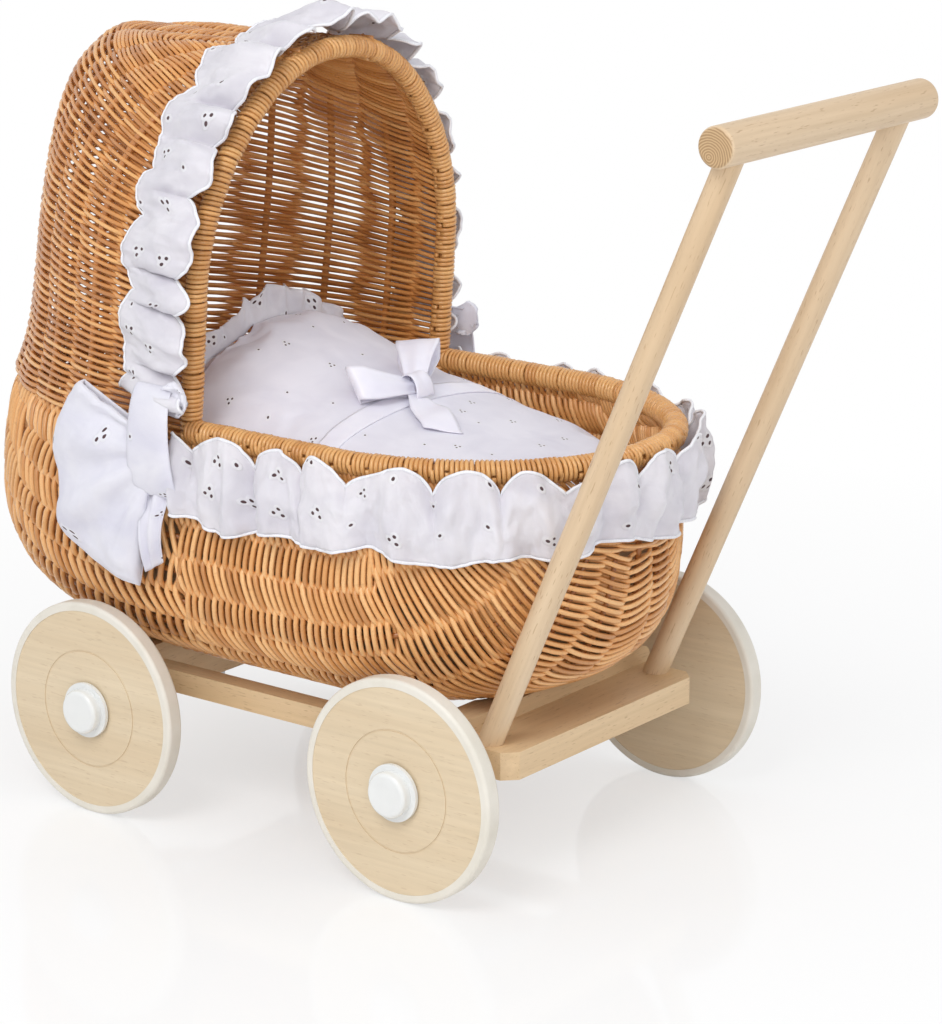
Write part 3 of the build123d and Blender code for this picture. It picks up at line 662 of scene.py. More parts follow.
_, back_depth, _ = hood_profile(level_shares)
hood_back_line = np.stack((hood_front(level_heights) - back_depth, level_heights), axis=1)
hood_back_line = np.concatenate((hood_back_line, [[hood_front(level_heights[-1]), level_heights[-1]]]))
row_shares = np.linspace(0.004, 0.985, hood_rows - len(hood_base_levels))
row_ends = [(np.array((arch_x, z)), np.array((hood_back_line[0][0], z))) for z in hood_base_levels]
row_ends += [(arch_foot(s), line_at(hood_back_line, s)) for s in row_shares]
hood_grid = np.array([slice_line(start, end, hood_width, 220) for start, end in row_ends])
hood_normal = outward(hood_grid, hood_middle)
hood_sideways = unit(np.gradient(hood_grid, axis=0))
hood_girth = np.linspace(0, 1, hood_grid.shape[1])
hood_willow = willow("willow_hood", (0.38, 0.135, 0.032), (0.71, 0.315, 0.088), (0.87, 0.5, 0.195), 0.36)


def hood_strand(i):
    # Neighbouring rods are drawn together in twos between the stakes, which opens slits beside them.
    swing = held_swing(np.pi * (hood_stakes * hood_girth + i % 2) + draw.uniform(-0.15, 0.15))
    uneven = 0.5 + 0.5 * np.sin(37.0 * (i // 2) + 2.3 * hood_stakes * hood_girth)
    together = hood_pairing * (1 - 2 * (i % 2)) * np.abs(np.sin(np.pi * hood_stakes * hood_girth)) * uneven
    line = hood_grid[i] + hood_normal[i] * (hood_sway * swing - hood_inset)[:, None]
    line = line + hood_sideways[i] * together[:, None]
    points = evenly(line, max(int(walk(line)[-1] / hood_step), 10))
    return points, 0.15 + 0.75 * draw.random(), draw.uniform(0.9, 1.08)


hood_strands = [hood_strand(i) for i in range(hood_rows)]
stakes = []
for k in range(1, hood_stakes):
    column = int(round(k / hood_stakes * (hood_grid.shape[1] - 1)))
    points = (hood_grid - hood_normal * hood_inset)[:, column]
    stakes.append((evenly(points, 60), 0.1, 1.9))
hood_lower = woven_piece("hood_weave_lower", hood_strands[: hood_rows // 2] + stakes, hood_rod, hood_willow)
woven_piece("hood_weave_upper", hood_strands[hood_rows // 2 :], hood_rod, hood_willow)
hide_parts("hood_shell")

# Hood arch
# A bent rod stands on the rim at each side and frames the mouth of the hood.
# It is wound with the same cane as the rim.
arch_up = np.array((math.sin(arch_lean), 0.0, math.cos(arch_lean)))
arch_half = [
    end_point(s, arch_half_width, arch_leg, arch_height - arch_leg, arch_turn) for s in np.linspace(0, 1, 200)
]
arch_foot_point = np.array((arch_x, 0.0, rim_z))
arch_near = [arch_foot_point + up * arch_up - np.array((0.0, across, 0.0)) for up, across in arch_half]
arch_near = np.concatenate(([arch_near[0] - rim_radius * arch_up], arch_near))
arch_line = evenly(both_sides(arch_near), 400)
arch_forward = np.array((math.cos(arch_lean), 0.0, -math.sin(arch_lean)))
arch_across = unit(np.cross(np.gradient(arch_line, axis=0), arch_forward))
hood_arch = wound_rod("arch_winding", arch_line, arch_across, arch_radius, cane)
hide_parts("hood_arch")

# Bedding
# A calico-covered pad fills the bottom of the basket, with a pillow and a padded quilt on it.
# Pillow and quilt are covered in white cotton with small worked eyelets.
settle_frames = 20


def eyelet_cotton(name, coordinates, cloth, shade, cell, hole, light_through=0.0, crease_depth=0.0016):
    # White cotton with worked eyelets, single and in threes, over a fine weave and soft creases, with painted
    # shade in their hollows.
    material, tree, shader = plain_finish(name, 0.85)
    source = add_node(tree, "TexCoord").outputs[coordinates]

    def eyelet(shift_x, shift_y):
        moved = add_node(tree, "Mapping", {"Vector": source}, Location=(shift_x, shift_y, 0.0))
        spots = add_node(
            tree, "TexVoronoi", {"Vector": moved.outputs["Vector"]}, {"voronoi_dimensions": "2D"},
            Scale=1 / cell, Randomness=0.6,
        )
        return spots.outputs["Distance"], spots.outputs["Color"]

    near, own = eyelet(0.0, 0.0)
    second, _ = eyelet(2.6 * hole, 1.2 * hole)
    third, _ = eyelet(0.4 * hole, 2.8 * hole)
    pick = add_node(tree, "SeparateColor", {"Color": own}).outputs["Red"]
    single = work_out(tree, "LESS_THAN", pick, 0.45)
    pair = work_out(tree, "ADD", work_out(tree, "MINIMUM", second, third), single)
    nearest = work_out(tree, "MINIMUM", near, pair)
    radius = hole / cell
    worked = ramp(tree, nearest, 1.9 * radius, 1.5 * radius)
    open_hole = ramp(tree, nearest, 0.75 * radius, 0.6 * radius)
    place = object_place(tree)
    creased = add_node(tree, "TexNoise", {"Vector": place}, Scale=30.0, Detail=5.0, Distortion=0.6)
    creases = creased.outputs["Fac"]
    weave = cloudy(tree, place, 1400.0, 1.0)
    # Painted shade: the crease hollows, where the relief is low, take the darker shade colour.
    colour = blend_colours(tree, ramp(tree, creases, 0.3, 0.65), shade, cloth)
    thread_white = (0.86, 0.86, 0.88)
    colour = blend_colours(tree, work_out(tree, "MULTIPLY", worked, 0.4), colour, thread_white)
    # Painted shade: open eyelets take a near-black brown for the dark seen through them.
    hole_shade_brown = (0.075, 0.035, 0.04)
    colour = blend_colours(tree, open_hole, colour, hole_shade_brown)
    shader.inputs["Sheen Weight"].default_value = 0.15
    shader.inputs["Sheen Roughness"].default_value = 0.5
    shader.inputs["Subsurface Weight"].default_value = light_through
    shader.inputs["Subsurface Radius"].default_value = (1.0, 1.0, 1.0)
    shader.inputs["Subsurface Scale"].default_value = 0.003
    fine = work_out(tree, "MULTIPLY", weave, 0.08)
    relief = work_out(tree, "ADD", fine, work_out(tree, "MULTIPLY", creases, 0.6))
    relief = work_out(tree, "ADD", relief, work_out(tree, "MULTIPLY", worked, 0.35))
    relief = work_out(tree, "SUBTRACT", relief, work_out(tree, "MULTIPLY", open_hole, 0.8))
    lay_on(tree, shader, colour, ramp(tree, weave, -3.2, 1.2), relief, 0.4, crease_depth)
    return material


def calico(name, pale, dark):
    # Unbleached cotton with a plain square weave.
    material, tree, shader = plain_finish(name, 0.9)
    place = object_place(tree)
    threads = add_node(tree, "TexWave", {"Vector": place}, Scale=260.0, Distortion=1.5).outputs["Fac"]
    slubs = cloudy(tree, place, 120.0, 4.0)
    mixed = work_out(tree, "MULTIPLY", work_out(tree, "ADD", threads, slubs), 0.5)
    colour = blend_colours(tree, mixed, dark, pale)
    lay_on(tree, shader, colour, ramp(tree, mixed, -4.0, 1.6), mixed, 0.2, 0.0004)
    return material


def stuffed(name, node_name, start_size, voxel, pressure, swell_cap, material):
    # A closed cover blown up from the plain solid by a short cloth simulation.
    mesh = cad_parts[node_name].data.copy()
    low, high = (Vector(corner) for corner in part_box(node_name))
    middle = (low + high) / 2
    piece = add_object(name, mesh)
    shape = bmesh.new()
    shape.from_mesh(mesh)
    bmesh.ops.remove_doubles(shape, verts=shape.verts, dist=1e-5)
    for vertex in shape.verts:
        vertex.co = middle + (vertex.co - middle) * start_size
        vertex.co.z += (low.z - middle.z) * (1 - start_size)
    shape.to_mesh(mesh)
    shape.free()
    remesh = piece.modifiers.new("skin", "REMESH")
    remesh.mode = "VOXEL"
    remesh.voxel_size = voxel
    bpy.context.view_layer.objects.active = piece
    bpy.ops.object.modifier_apply(modifier=remesh.name)
    rest = np.empty(len(piece.data.vertices) * 3)
    piece.data.vertices.foreach_get("co", rest)
    cloth = piece.modifiers.new("stuffing", "CLOTH")
    cloth.settings.use_pressure = True
    cloth.settings.uniform_pressure_force = pressure
    cloth.settings.effector_weights.gravity = 0.0
    cloth.settings.quality = 5
    cloth.settings.mass = 0.3
    cloth.settings.tension_stiffness = 12.0
    cloth.settings.compression_stiffness = 12.0
    cloth.settings.bending_stiffness = 0.3
    cloth.point_cache.frame_end = settle_frames
    for step in range(1, settle_frames + 1):
        bpy.context.scene.frame_set(step)
    bpy.ops.object.modifier_apply(modifier=cloth.name)
    bpy.context.scene.frame_set(1)
    blown = np.empty_like(rest)
    piece.data.vertices.foreach_get("co", blown)
    rest = rest.reshape(-1, 3)
    move = blown.reshape(-1, 3) - rest
    far = np.maximum(np.linalg.norm(move, axis=1, keepdims=True), 1e-9)
    placed = rest + move * np.minimum(1.0, swell_cap / far)
    placed[:, 2] = np.maximum(placed[:, 2], low.z)
    piece.data.vertices.foreach_set("co", placed.ravel())
    piece.data.update()
    smooth = piece.modifiers.new("soft", "SUBSURF")
    smooth.levels = 1
    smooth.render_levels = 1
    piece.data.materials.clear()
    piece.data.materials.append(material)
    piece.data.shade_smooth()
    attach(piece, "pram")
    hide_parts(node_name)
    return piece


cloth_white = (0.82, 0.81, 0.89)
cloth_shade = (0.73, 0.72, 0.81)
pad_calico = calico("calico_pad", (0.44, 0.31, 0.18), (0.33, 0.22, 0.12))
quilt_cotton = eyelet_cotton("cotton_quilt", "Object", cloth_white, cloth_shade, 0.036, 0.0011)
stuffed("mattress_pad", "mattress", 0.985, 0.007, 2.0, 0.004, pad_calico)
pillow = stuffed("pillow_cushion", "pillow", 0.95, 0.005, 4.0, 0.006, quilt_cotton)
quilt = stuffed("quilt_padded", "duvet", 0.97, 0.005, 4.0, 0.006, quilt_cotton)

# Quilt ribbon
# One satin band lies across the quilt, with a bow tied on it at the middle.
# One loop lies toward the near side, the other stands up toward the hood, and a tail falls forward.
ribbon_x = 0.028
ribbon_width = 0.016
ribbon_lift = 0.0006
satin_thickness = 0.0007
basket_inside = 0.125


def satin(name, pale, shade):
    # Closely woven satin with fine threads along its length and a soft sheen.
    material, tree, shader = plain_finish(name, 0.38)
    cut = add_node(tree, "TexCoord").outputs["UV"]
    threads = cloudy(tree, stretched(tree, cut, (30.0, 2600.0, 1.0)), 1.0, 2.0)
    clouds = cloudy(tree, object_place(tree), 45.0, 3.0)
    colour = blend_colours(tree, ramp(tree, clouds, 0.3, 0.7), shade, pale)
    shader.inputs["Sheen Weight"].default_value = 0.3
    lay_on(tree, shader, colour, ramp(tree, threads, -0.6, 2.0), threads, 0.12, 0.0003)
    return material


def crinkle(u, v, across, along):
    # Small uneven folds, between about -1 and 1, in a cloth with so many folds across and along it.
    large = noise.noise(Vector((across * u, along * v, 0.3)))
    return large + 0.5 * noise.noise(Vector((2.3 * across * u, 2.1 * along * v, 5.7)))


def cloth_piece(name, sheets, thickness, material):
    # Sheets of cloth as one piece: each has columns, rows, its cut size and a place for each share of it.
    shape = bmesh.new()
    cut = shape.loops.layers.uv.new("cut")
    for columns, rows, size, place in sheets:
        made = bmesh.ops.create_grid(shape, x_segments=columns, y_segments=rows, size=0.5)
        shares = {vertex: (vertex.co.x + 0.5, vertex.co.y + 0.5) for vertex in made["verts"]}
        faces = {face for vertex in made["verts"] for face in vertex.link_faces}
        for face in faces:
            for loop in face.loops:
                u, v = shares[loop.vert]
                loop[cut].uv = (u * size[0], v * size[1])
        for vertex, (u, v) in shares.items():
            vertex.co = place(u, v)
    mesh = bpy.data.meshes.new(name)
    shape.to_mesh(mesh)
    shape.free()
    mesh.shade_smooth()
    mesh.materials.append(material)
    piece = add_object(name, mesh)
    wall = piece.modifiers.new("cloth", "SOLIDIFY")
    wall.thickness = thickness
    wall.offset = 0.0
    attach(piece, "pram")
    return piece


def surface_of(piece):
    # Ray-cast tree of a piece as its modifiers leave it.
    bpy.context.view_layer.update()
    return BVHTree.FromObject(piece, bpy.context.evaluated_depsgraph_get())


quilt_surface = surface_of(quilt)
pillow_surface = surface_of(pillow)


def top_of(surface, x, y, fallback):
    # Height of a surface under a place, or the fallback beside it.
    hit = surface.ray_cast(Vector((x, y, 1.0)), Vector((0, 0, -1)))
    return hit[0].z if hit[0] is not None else fallback


def band_end(side):
    # The furthest place toward one side where the quilt still lies under the whole width of the band.
    band_edges = (ribbon_x - ribbon_width / 2, ribbon_x + ribbon_width / 2)
    y = basket_inside
    while min(top_of(quilt_surface, x, side * y, 0.0) for x in band_edges) == 0.0:
        y -= 0.0005
    return side * y


band_ends = (band_end(-1), band_end(1))
band_size = (1.1 * (band_ends[1] - band_ends[0]), ribbon_width)


def band_place(u, v):
    # The band follows the quilt from end to end.
    y = band_ends[0] + (band_ends[1] - band_ends[0]) * u
    x = ribbon_x + ribbon_width * (v - 0.5)
    return Vector((x, y, top_of(quilt_surface, x, y, 0.27) + ribbon_lift))


lavender_satin = satin("satin_lavender", (0.9, 0.89, 0.97), (0.82, 0.81, 0.92))
band_sheets = [(90, 8, band_size, band_place)]
ribbon_band = cloth_piece("ribbon_band", band_sheets, satin_thickness, lavender_satin)
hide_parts("duvet_ribbon")
knot_place = Vector((ribbon_x, 0.0, top_of(quilt_surface, ribbon_x, 0.0, 0.28) + 0.0015))


def loop_sheet(heading, tilt, length, puff, width):
    # A ribbon loop that leaves the knot, folds back on itself and stands tilted on one edge.
    heading = Vector(heading).normalized()
    aside = Vector((heading.y, -heading.x, 0.0)).normalized()
    across = aside * math.cos(tilt) + Vector((0.0, 0.0, math.sin(tilt)))
    through = heading.cross(across).normalized()

    def place(u, v):
        out = 1 - abs(1 - 2 * u)
        layer = 0.5 if u < 0.5 else -0.5
        spread = 0.42 + 0.58 * min(1.0, 1.7 * out)
        gather = 0.0012 * math.sin(9 * v) * (1 - out)
        point = knot_place + Vector((0.0, 0.0, 0.006)) + heading * length * math.sin(out * math.pi / 2)
        point += across * width * spread * (v - 0.5 + 0.5 * math.sin(tilt) * out)
        point += through * (layer * puff * math.sin(math.pi * out) ** 0.8 + gather)
        ground = top_of(quilt_surface, point.x, point.y, knot_place.z - 0.002)
        point.z = max(point.z, ground + 0.0014 + 0.001 * u)
        return point

    return 44, 10, (2.2 * length, width), place


def tail_sheet(direction, length, width):
    # A loose end that leaves the knot and lies in waves on the quilt.
    heading = Vector((direction[0], direction[1], 0.0)).normalized()
    aside = Vector((-heading.y, heading.x, 0.0))

    def place(u, v):
        spread = 0.5 + 0.5 * min(1.0, 2 * u)
        slant = 0.25 * width * (v - 0.5) * u
        point = knot_place + heading * (length * u + slant) + aside * width * spread * (v - 0.5)
        ground = top_of(quilt_surface, point.x, point.y, knot_place.z - 0.004)
        wave = 0.004 * math.sin(math.pi * u) + 0.0015 * math.sin(8 * u + 3 * v)
        point.z = max(ground + 0.0014 + wave, ground + 0.0011)
        return point

    return 36, 10, (length, width), place


def tied_knot(width, length, height):
    # The short wrap round the middle of the bow.
    def place(u, v):
        angle = math.radians(-105 + 210 * u)
        across = length * (v - 0.5) * (1 - 0.12 * math.cos(angle))
        rise = height * math.cos(angle) + 0.0006 * math.sin(10 * v)
        return knot_place + Vector((width / 2 * math.sin(angle), across, max(rise, -0.001) + 0.001))

    return 24, 10, (2 * width, length), place


bow_sheets = [
    loop_sheet((-0.25, -1.0, 0.0), math.radians(50), 0.048, 0.012, 0.026),
    loop_sheet((-0.6, 0.8, 0.42), math.radians(4), 0.05, 0.014, 0.03),
    tail_sheet((0.85, -0.5), 0.052, 0.026),
    tied_knot(0.018, 0.019, 0.014),
]
ribbon_bow = cloth_piece("ribbon_bow", bow_sheets, satin_thickness, lavender_satin)
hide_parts("duvet_bow")

# Pillow ruffle
# A gathered strip of the same eyelet cotton is sewn along the top edge of the pillow.
# It stands up behind the quilt, higher toward the far side.
ruffle_run = (-0.104, 0.092)
ruffle_x = -0.1005
ruffle_height = 0.026
ruffle_size = (0.25, 0.022)
strip_thickness = 0.0009
strip_white = (0.77, 0.75, 0.8)
strip_shade = (0.64, 0.62, 0.68)
strip_cotton = eyelet_cotton("cotton_strip", "UV", strip_white, strip_shade, 0.035, 0.0019, 0.45, 0.0034)


def ripple(share, bumps, seed):
    # Uneven rounded bumps from 0 in the tucks to 1 at the crests.
    shift = 0.16 * math.sin(2.3 * bumps * share + seed) + 0.1 * math.sin(4.1 * bumps * share + 2 * seed)
    return abs(math.cos(math.pi * (bumps * share + shift))) ** 0.65


def ruffle_place(u, v):
    # Place on the ruffle, from its seam on the pillow up to its free edge.
    y = ruffle_run[0] + (ruffle_run[1] - ruffle_run[0]) * u
    ground = max(top_of(quilt_surface, -0.09, y, 0.24), top_of(pillow_surface, -0.108, y, 0.24))
    crest = ripple(u, 5.5, 1.3)
    hump = math.exp(-((u - 0.6) / 0.22) ** 2)
    rise = ruffle_height * (0.42 + 0.26 * crest + 0.32 * hump) * v
    sway_x = 0.004 * math.sin(2 * math.pi * 9 * u + 0.8 * math.sin(9 * u)) * v - 0.003 * v
    sway_x += 0.003 * crinkle(u, v, 24.0, 2.0) * v
    return Vector((ruffle_x + sway_x, y, ground - 0.004 + rise))


ruffle_sheets = [(150, 8, ruffle_size, ruffle_place)]
pillow_ruffle = cloth_piece("pillow_ruffle", ruffle_sheets, strip_thickness, strip_cotton)

# Body frill
# A strip of eyelet cotton is gathered along the rim, with a scalloped upper edge and a wavy hem.
# Both edges are overlocked in thick white thread.
frill_start = -0.056
frill_gap = 0.0012
frill_bumps = 16
frill_hem_z = 0.2285
frill_size = (0.86, 0.062)
first_thread = 0.0022
second_thread = 0.0024
hem_cotton = calico("cotton_hem", (0.87, 0.87, 0.9), (0.8, 0.8, 0.84))


def sewn_edge(name, place, v, thickness):
    # Overlocked thread along one edge of a strip.
    line = np.array([place(u, v) for u in np.linspace(0, 1, 500)])
    return woven_piece(name, [(line, 0.5, 1.0)], thickness, hem_cotton)


def frill(name, divisions, size, place, edge_names):
    # A gathered strip with an overlocked edge along each side.
    strip = cloth_piece(name + "_strip", [(*divisions, size, place)], strip_thickness, strip_cotton)
    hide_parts(name)
    first, second = (name + "_" + edge_name for edge_name in edge_names)
    edges = [sewn_edge(first, place, 0.0, first_thread), sewn_edge(second, place, 1.0, second_thread)]
    return strip, edges


def round_basket(share, half_width, straight, reach, offset):
    # Point (x, y) round the handle end of an outline, from the near arch foot to the far one.
    folded = 1 - abs(1 - 2 * share)
    along, across = end_point(folded, half_width, straight - frill_start, reach, front_turn, offset)
    return frill_start + along, -across if share <= 0.5 else across


def frill_place(u, v):
    # Place on the frill, from its scalloped top edge on the rim down to its hem.
    crest = ripple(u, frill_bumps, 0.7)
    top_z = 0.268 + 0.02 * crest
    hem_z = frill_hem_z + 0.003 * math.sin(2 * math.pi * 9 * u + 1.0) - 0.002 * math.sin(2 * math.pi * 4 * u)
    top_out = rim_radius + frill_gap + 0.0008 + 0.009 * crest
    x0, y0 = round_basket(u, rim_half_width, rim_straight, rim_reach, top_out)
    half_width, front, _ = basket_sizes((rim_z - frill_hem_z) / basket_depth)
    straight = front_straight_share * front
    hem_wave = 0.0035 * math.sin(2 * math.pi * 16 * u + 1.7 * math.sin(11 * u))
    hem_out = 0.0055 + hem_wave + 0.003 * crest
    x1, y1 = round_basket(u, half_width, straight, front - straight, hem_out)
    ease = v * v * (3 - 2 * v)
    belly = 0.0035 * math.sin(math.pi * v) * (0.3 + crest)
    probe = 0.01
    x2, y2 = round_basket(u, half_width, straight, front - straight, hem_out + probe)
    outward_x = (x2 - x1) / probe
    outward_y = (y2 - y1) / probe
    pucker = 0.0013 * math.sin(2 * math.pi * 41 * u) * math.exp(-((v - 0.34) / 0.12) ** 2)
    pucker += 0.004 * math.sin(2 * math.pi * 25 * u + 2 * math.sin(13 * u)) * min(1.0, 2.2 * v)
    pucker += 0.0034 * crinkle(u, v, 80.0, 4.0)
    swell = max(belly + pucker, -0.0035)
    x = x0 + (x1 - x0) * ease + outward_x * swell
    y = y0 + (y1 - y0) * ease + outward_y * swell
    return Vector((x, y, top_z + (hem_z - top_z) * v))


body_frill, frill_edges = frill("body_frill", (500, 20), frill_size, frill_place, ("top_edge", "hem_edge"))
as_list(frill_edges)

# Hood frill
# The same strip runs over the hood just behind the arch, from one bow up and over to the other.
# Its front edge is drawn into deep scallops that lap over the arch.
hood_frill_foot = 0.02
hood_frill_bumps = 16
hood_frill_size = (0.72, 0.062)


def over_arch(share, offset, depth):
    # Point over the arch at a share of the way from the near foot to the far one.
    folded = 1 - abs(1 - 2 * share)
    up, across = end_point(
        folded, arch_half_width, arch_leg - hood_frill_foot, arch_height - arch_leg, arch_turn, offset
    )
    side = -across if share <= 0.5 else across
    point = arch_foot_point + (up + hood_frill_foot) * arch_up - depth * arch_forward
    return Vector((point[0], side, point[2]))


def hood_frill_place(u, v):
    # Place on the frill, from its back edge on the hood forward to its scallops.
    crest = ripple(u, hood_frill_bumps, 2.1)
    near_side = min(1.0, max(0.0, (0.78 - u) / 0.28))
    back = 0.047 + 0.011 * ripple(u, 13, 0.4)
    front = 0.011 - (0.015 + 0.01 * near_side) * crest
    depth = back + (front - back) * v
    back_wave = 0.0035 * math.sin(2 * math.pi * 13 * u + 1.2 * math.sin(7 * u))
    lift_back = hood_cover + 0.0045 + max(back_wave, -0.0015)
    lift_front = arch_radius + 0.0015 + (0.0025 + 0.0145 * near_side) * crest
    hollow = 0.006 * math.sin(math.pi * v) * (0.1 + crest)
    pucker = 0.0011 * math.sin(2 * math.pi * 47 * u) * math.exp(-((v - 0.45) / 0.16) ** 2)
    pucker += 0.0028 * math.sin(2 * math.pi * 27 * u + 2 * math.sin(11 * u)) * v
    pucker += 0.0026 * crinkle(u, v, 80.0, 4.0)
    ease = v * v * (3 - 2 * v)
    return over_arch(u, lift_back + (lift_front - lift_back) * ease + hollow + pucker, depth)


hood_frill, hood_edges = frill(
    "hood_frill", (520, 18), hood_frill_size, hood_frill_place, ("back_edge", "front_edge")
)
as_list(hood_edges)

# Bows
# A large soft bow of the same cotton is tied at each foot of the arch, over the ends of both frills.
# Its big loop fans back along the basket, a small one shows in front, and one tail hangs down.
bow_x = -0.067
bow_z = 0.278
bow_wall = 0.1535
bow_white = (0.79, 0.78, 0.85)
bow_shade = (0.68, 0.67, 0.77)
bow_cotton = eyelet_cotton("cotton_bow", "UV", bow_white, bow_shade, 0.055, 0.0015, 0.3, 0.003)


def along_points(points, share):
    # Point on the smooth line through a few (x, z) points.
    at = share * (len(points) - 1)
    i = min(int(at), len(points) - 2)
    t = at - i
    p0 = points[max(i - 1, 0)]
    p1, p2 = points[i], points[i + 1]
    p3 = points[min(i + 2, len(points) - 1)]
    place = []
    for a, b, c, d in zip(p0, p1, p2, p3):
        square = 2 * a - 5 * b + 4 * c - d
        cube = 3 * b - a - 3 * c + d
        place.append(0.5 * (2 * b + (c - a) * t + square * t ** 2 + cube * t ** 3))
    return place


def bow_loop(side, root, outer_edge, pinch, puff, folds, seed):
    # A loop that fans from the pinch under the knot to its outer edge and folds back to the wall.
    def place(u, v):
        out = 1 - abs(1 - 2 * u)
        x0 = root[0]
        z0 = root[1] + pinch * (0.5 - v)
        x1, z1 = along_points(outer_edge, v)
        reach = math.sin(out * math.pi / 2)
        fold = math.sin(folds * math.pi * v + seed + 0.9 * math.sin(2.5 * out + seed) + 1.3 * math.sin(4 * v))
        crease = math.copysign(abs(fold) ** 0.7, fold)
        if u < 0.5:
            loose = min(1.0, 4 * out)
            body = puff * (math.sin(math.pi * min(1.0, 0.08 + 0.92 * out)) ** 0.8)
            y = 0.0045 + body * (0.15 + 0.85 * math.sin(math.pi * v) ** 0.6)
            y += 0.0055 * crease * loose * (1 - 0.6 * out)
            y += 0.0026 * crinkle(u, v, 9.0, 7.0) * loose
        else:
            y = 0.0045 - 0.002 * (1 - out) + 0.0006 * crease * (1 - out)
        z = z0 + (z1 - z0) * reach + 0.0016 * crease * out * out
        return Vector((x0 + (x1 - x0) * reach, side * (bow_wall + y), z))

    return 60, 34, (0.2, 0.09), place


def bow_tail(side, top, tip, width, lift, seed):
    # A hanging tail with a slanted end, from the pinch to its tip.
    def place(u, v):
        x = top[0] + (tip[0] - top[0]) * u
        z = top[1] + (tip[1] - top[1]) * u
        spread = width * (1 - 0.35 * u)
        slant = (v - 0.5) * spread
        fold = 0.003 * math.sin(3.5 * math.pi * v + seed) * (1 - 0.4 * u)
        y = bow_wall + lift + 0.006 * math.sin(math.pi * u) + fold
        return Vector((x + slant, side * y, z + 0.6 * slant * u))

    return 30, 18, (0.09, width), place


def bow_wrap(side, width, height, depth):
    # The broad wrap over the pinch, wider at its foot.
    def place(u, v):
        angle = math.radians(-96 + 192 * v)
        spread = width * (1 - 0.14 * math.sin(angle))
        crease = 0.0011 * math.sin(7 * u + 1.2) * math.cos(angle)
        rounded = depth * math.cos(angle) * (1 - 0.35 * (2 * u - 1) ** 2)
        y = bow_wall + max(0.001, 0.003 + rounded + crease)
        return Vector((bow_x + spread * (u - 0.5), side * y, bow_z + height / 2 * math.sin(angle)))

    return 22, 40, (width, 1.5 * height), place


wing_edge = (
    (-0.131, 0.31), (-0.149, 0.295), (-0.1555, 0.262), (-0.156, 0.228),
    (-0.152, 0.206), (-0.13, 0.19), (-0.106, 0.178), (-0.085, 0.174),
)
lappet_edge = ((-0.05, 0.32), (-0.041, 0.315), (-0.04, 0.305), (-0.047, 0.297))
for side_name, side in (("left", -1), ("right", 1)):
    sheets = [
        bow_loop(side, (bow_x - 0.006, bow_z - 0.013), wing_edge, 0.038, 0.013, 7.0, 0.4),
        bow_loop(side, (bow_x + 0.006, bow_z + 0.028), lappet_edge, 0.018, 0.004, 1.0, 1.4),
        bow_tail(side, (-0.067, 0.244), (-0.0715, 0.19), 0.024, 0.0035, 2.0),
        bow_wrap(side, 0.037, 0.076, 0.0135),
    ]
    bow = cloth_piece("bow_cloth_" + side_name, sheets, strip_thickness, bow_cotton)
    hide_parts("bow_" + side_name)

# Setting
# A white sweep with soft light from above and in front, seen from the photograph's angle.
# Floor and backdrop are white of themselves, and the floor keeps the shadow and a faint reflection.
camera_target = Vector((0.0759, 0.0, 0.2186))
camera_azimuth = math.radians(37.6)
camera_elevation = math.radians(15.6)
camera_distance = 2.399
camera_lens = 123.96
floor_size = 12.0
floor_fade = (-0.9, 1.0)


def seen_rays(tree):
    # 1 for what the camera sees, straight or in a reflection; 0 for light that falls on the object.
    path = add_node(tree, "LightPath")
    seen = work_out(tree, "MAXIMUM", path.outputs["Is Camera Ray"], path.outputs["Is Glossy Ray"])
    return work_out(tree, "MAXIMUM", seen, path.outputs["Is Transmission Ray"])


def whiten(tree, out_name, share, lit, kind):
    # Show a share of plain white over what is lit.
    white = add_node(tree, kind, Color=(1.0, 1.0, 1.0, 1.0), Strength=1.0)
    mixed = add_node(tree, "MixShader", {0: share, 1: lit, 2: white.outputs[kind]})
    tree.links.new(mixed.outputs["Shader"], tree.nodes[out_name].inputs["Surface"])


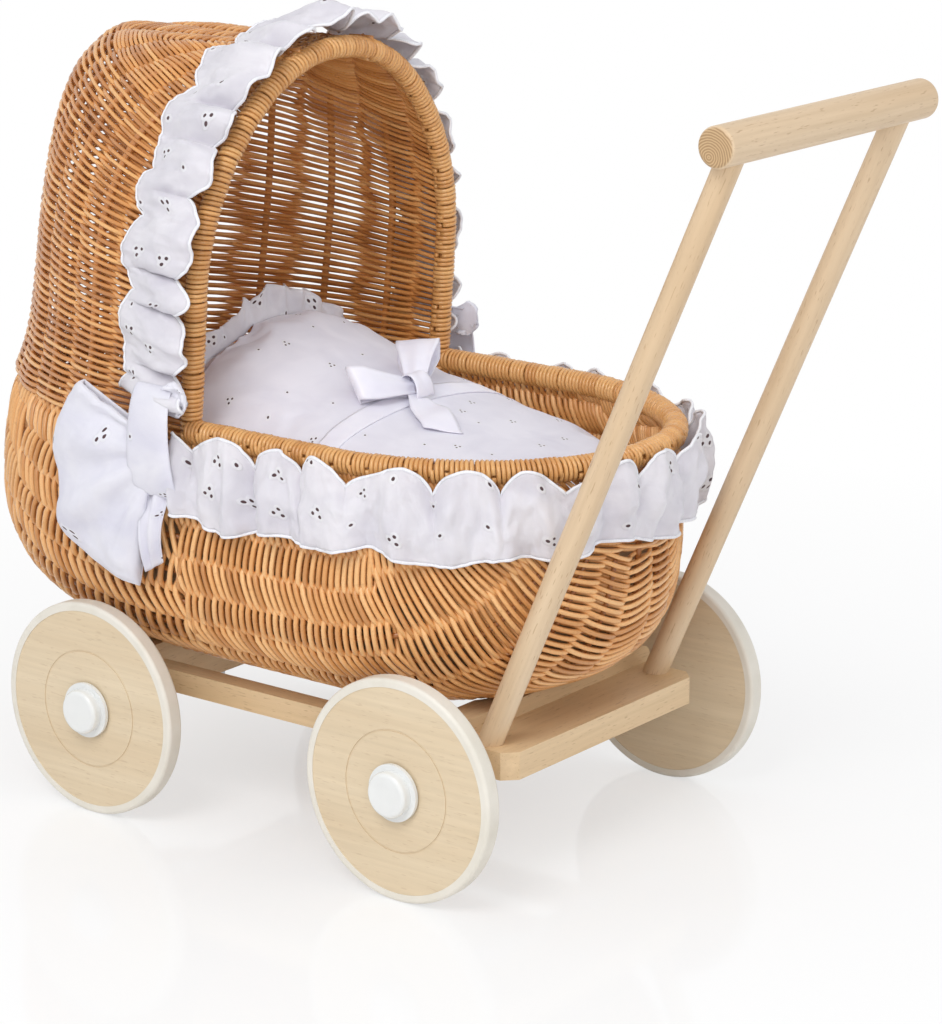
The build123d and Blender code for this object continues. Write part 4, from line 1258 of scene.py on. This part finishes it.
world = bpy.data.worlds.new("studio")
bpy.context.scene.world = world
world.use_nodes = True
sky_tree = world.node_tree
sky = sky_tree.nodes["Background"]
sky.inputs["Color"].default_value = (0.97, 0.98, 1.0, 1.0)
sky.inputs["Strength"].default_value = 0.68
whiten(sky_tree, "World Output", seen_rays(sky_tree), sky.outputs["Background"], "Background")

floor_mesh = bpy.data.meshes.new("floor")
floor_shape = bmesh.new()
bmesh.ops.create_grid(floor_shape, x_segments=1, y_segments=1, size=floor_size)
floor_shape.to_mesh(floor_mesh)
floor_shape.free()
floor = add_object("floor", floor_mesh)
floor_material, floor_tree, floor_shader = plain_finish("floor_white", 0.08)
floor_shader.inputs["Base Color"].default_value = (0.95, 0.95, 0.95, 1.0)
from_middle = add_node(floor_tree, "VectorMath", {0: object_place(floor_tree)}, {"operation": "LENGTH"})
distance_share = ramp(floor_tree, from_middle.outputs["Value"], *floor_fade)
floor_glow = work_out(floor_tree, "MULTIPLY", seen_rays(floor_tree), distance_share)
whiten(floor_tree, "Material Output", floor_glow, floor_shader.outputs["BSDF"], "Emission")
floor_mesh.materials.append(floor_material)


def soft_lamp(name, place, size, power):
    lamp = bpy.data.lights.new(name, "AREA")
    lamp.shape = "DISK"
    lamp.size = size
    lamp.energy = power
    holder = add_object(name, lamp)
    holder.location = place
    holder.rotation_euler = (camera_target - Vector(place)).to_track_quat("-Z", "Y").to_euler()


soft_lamp("key", (0.5, -1.95, 2.2), 1.3, 29.0)
soft_lamp("front", (1.75, -1.75, 1.05), 0.9, 9.0)
soft_lamp("fill", (2.2, 0.6, 1.5), 1.8, 5.0)

camera = add_object("camera", bpy.data.cameras.new("camera"))
camera.data.lens = camera_lens
camera.data.sensor_width = 36.0
level = math.cos(camera_elevation)
toward_x = math.sin(camera_azimuth) * level
toward_y = -math.cos(camera_azimuth) * level
toward = Vector((toward_x, toward_y, math.sin(camera_elevation)))
camera.location = camera_target + camera_distance * toward
camera.rotation_euler = (-toward).to_track_quat("-Z", "Y").to_euler()
bpy.context.scene.camera = camera
bpy.context.scene.view_settings.view_transform = "Standard"
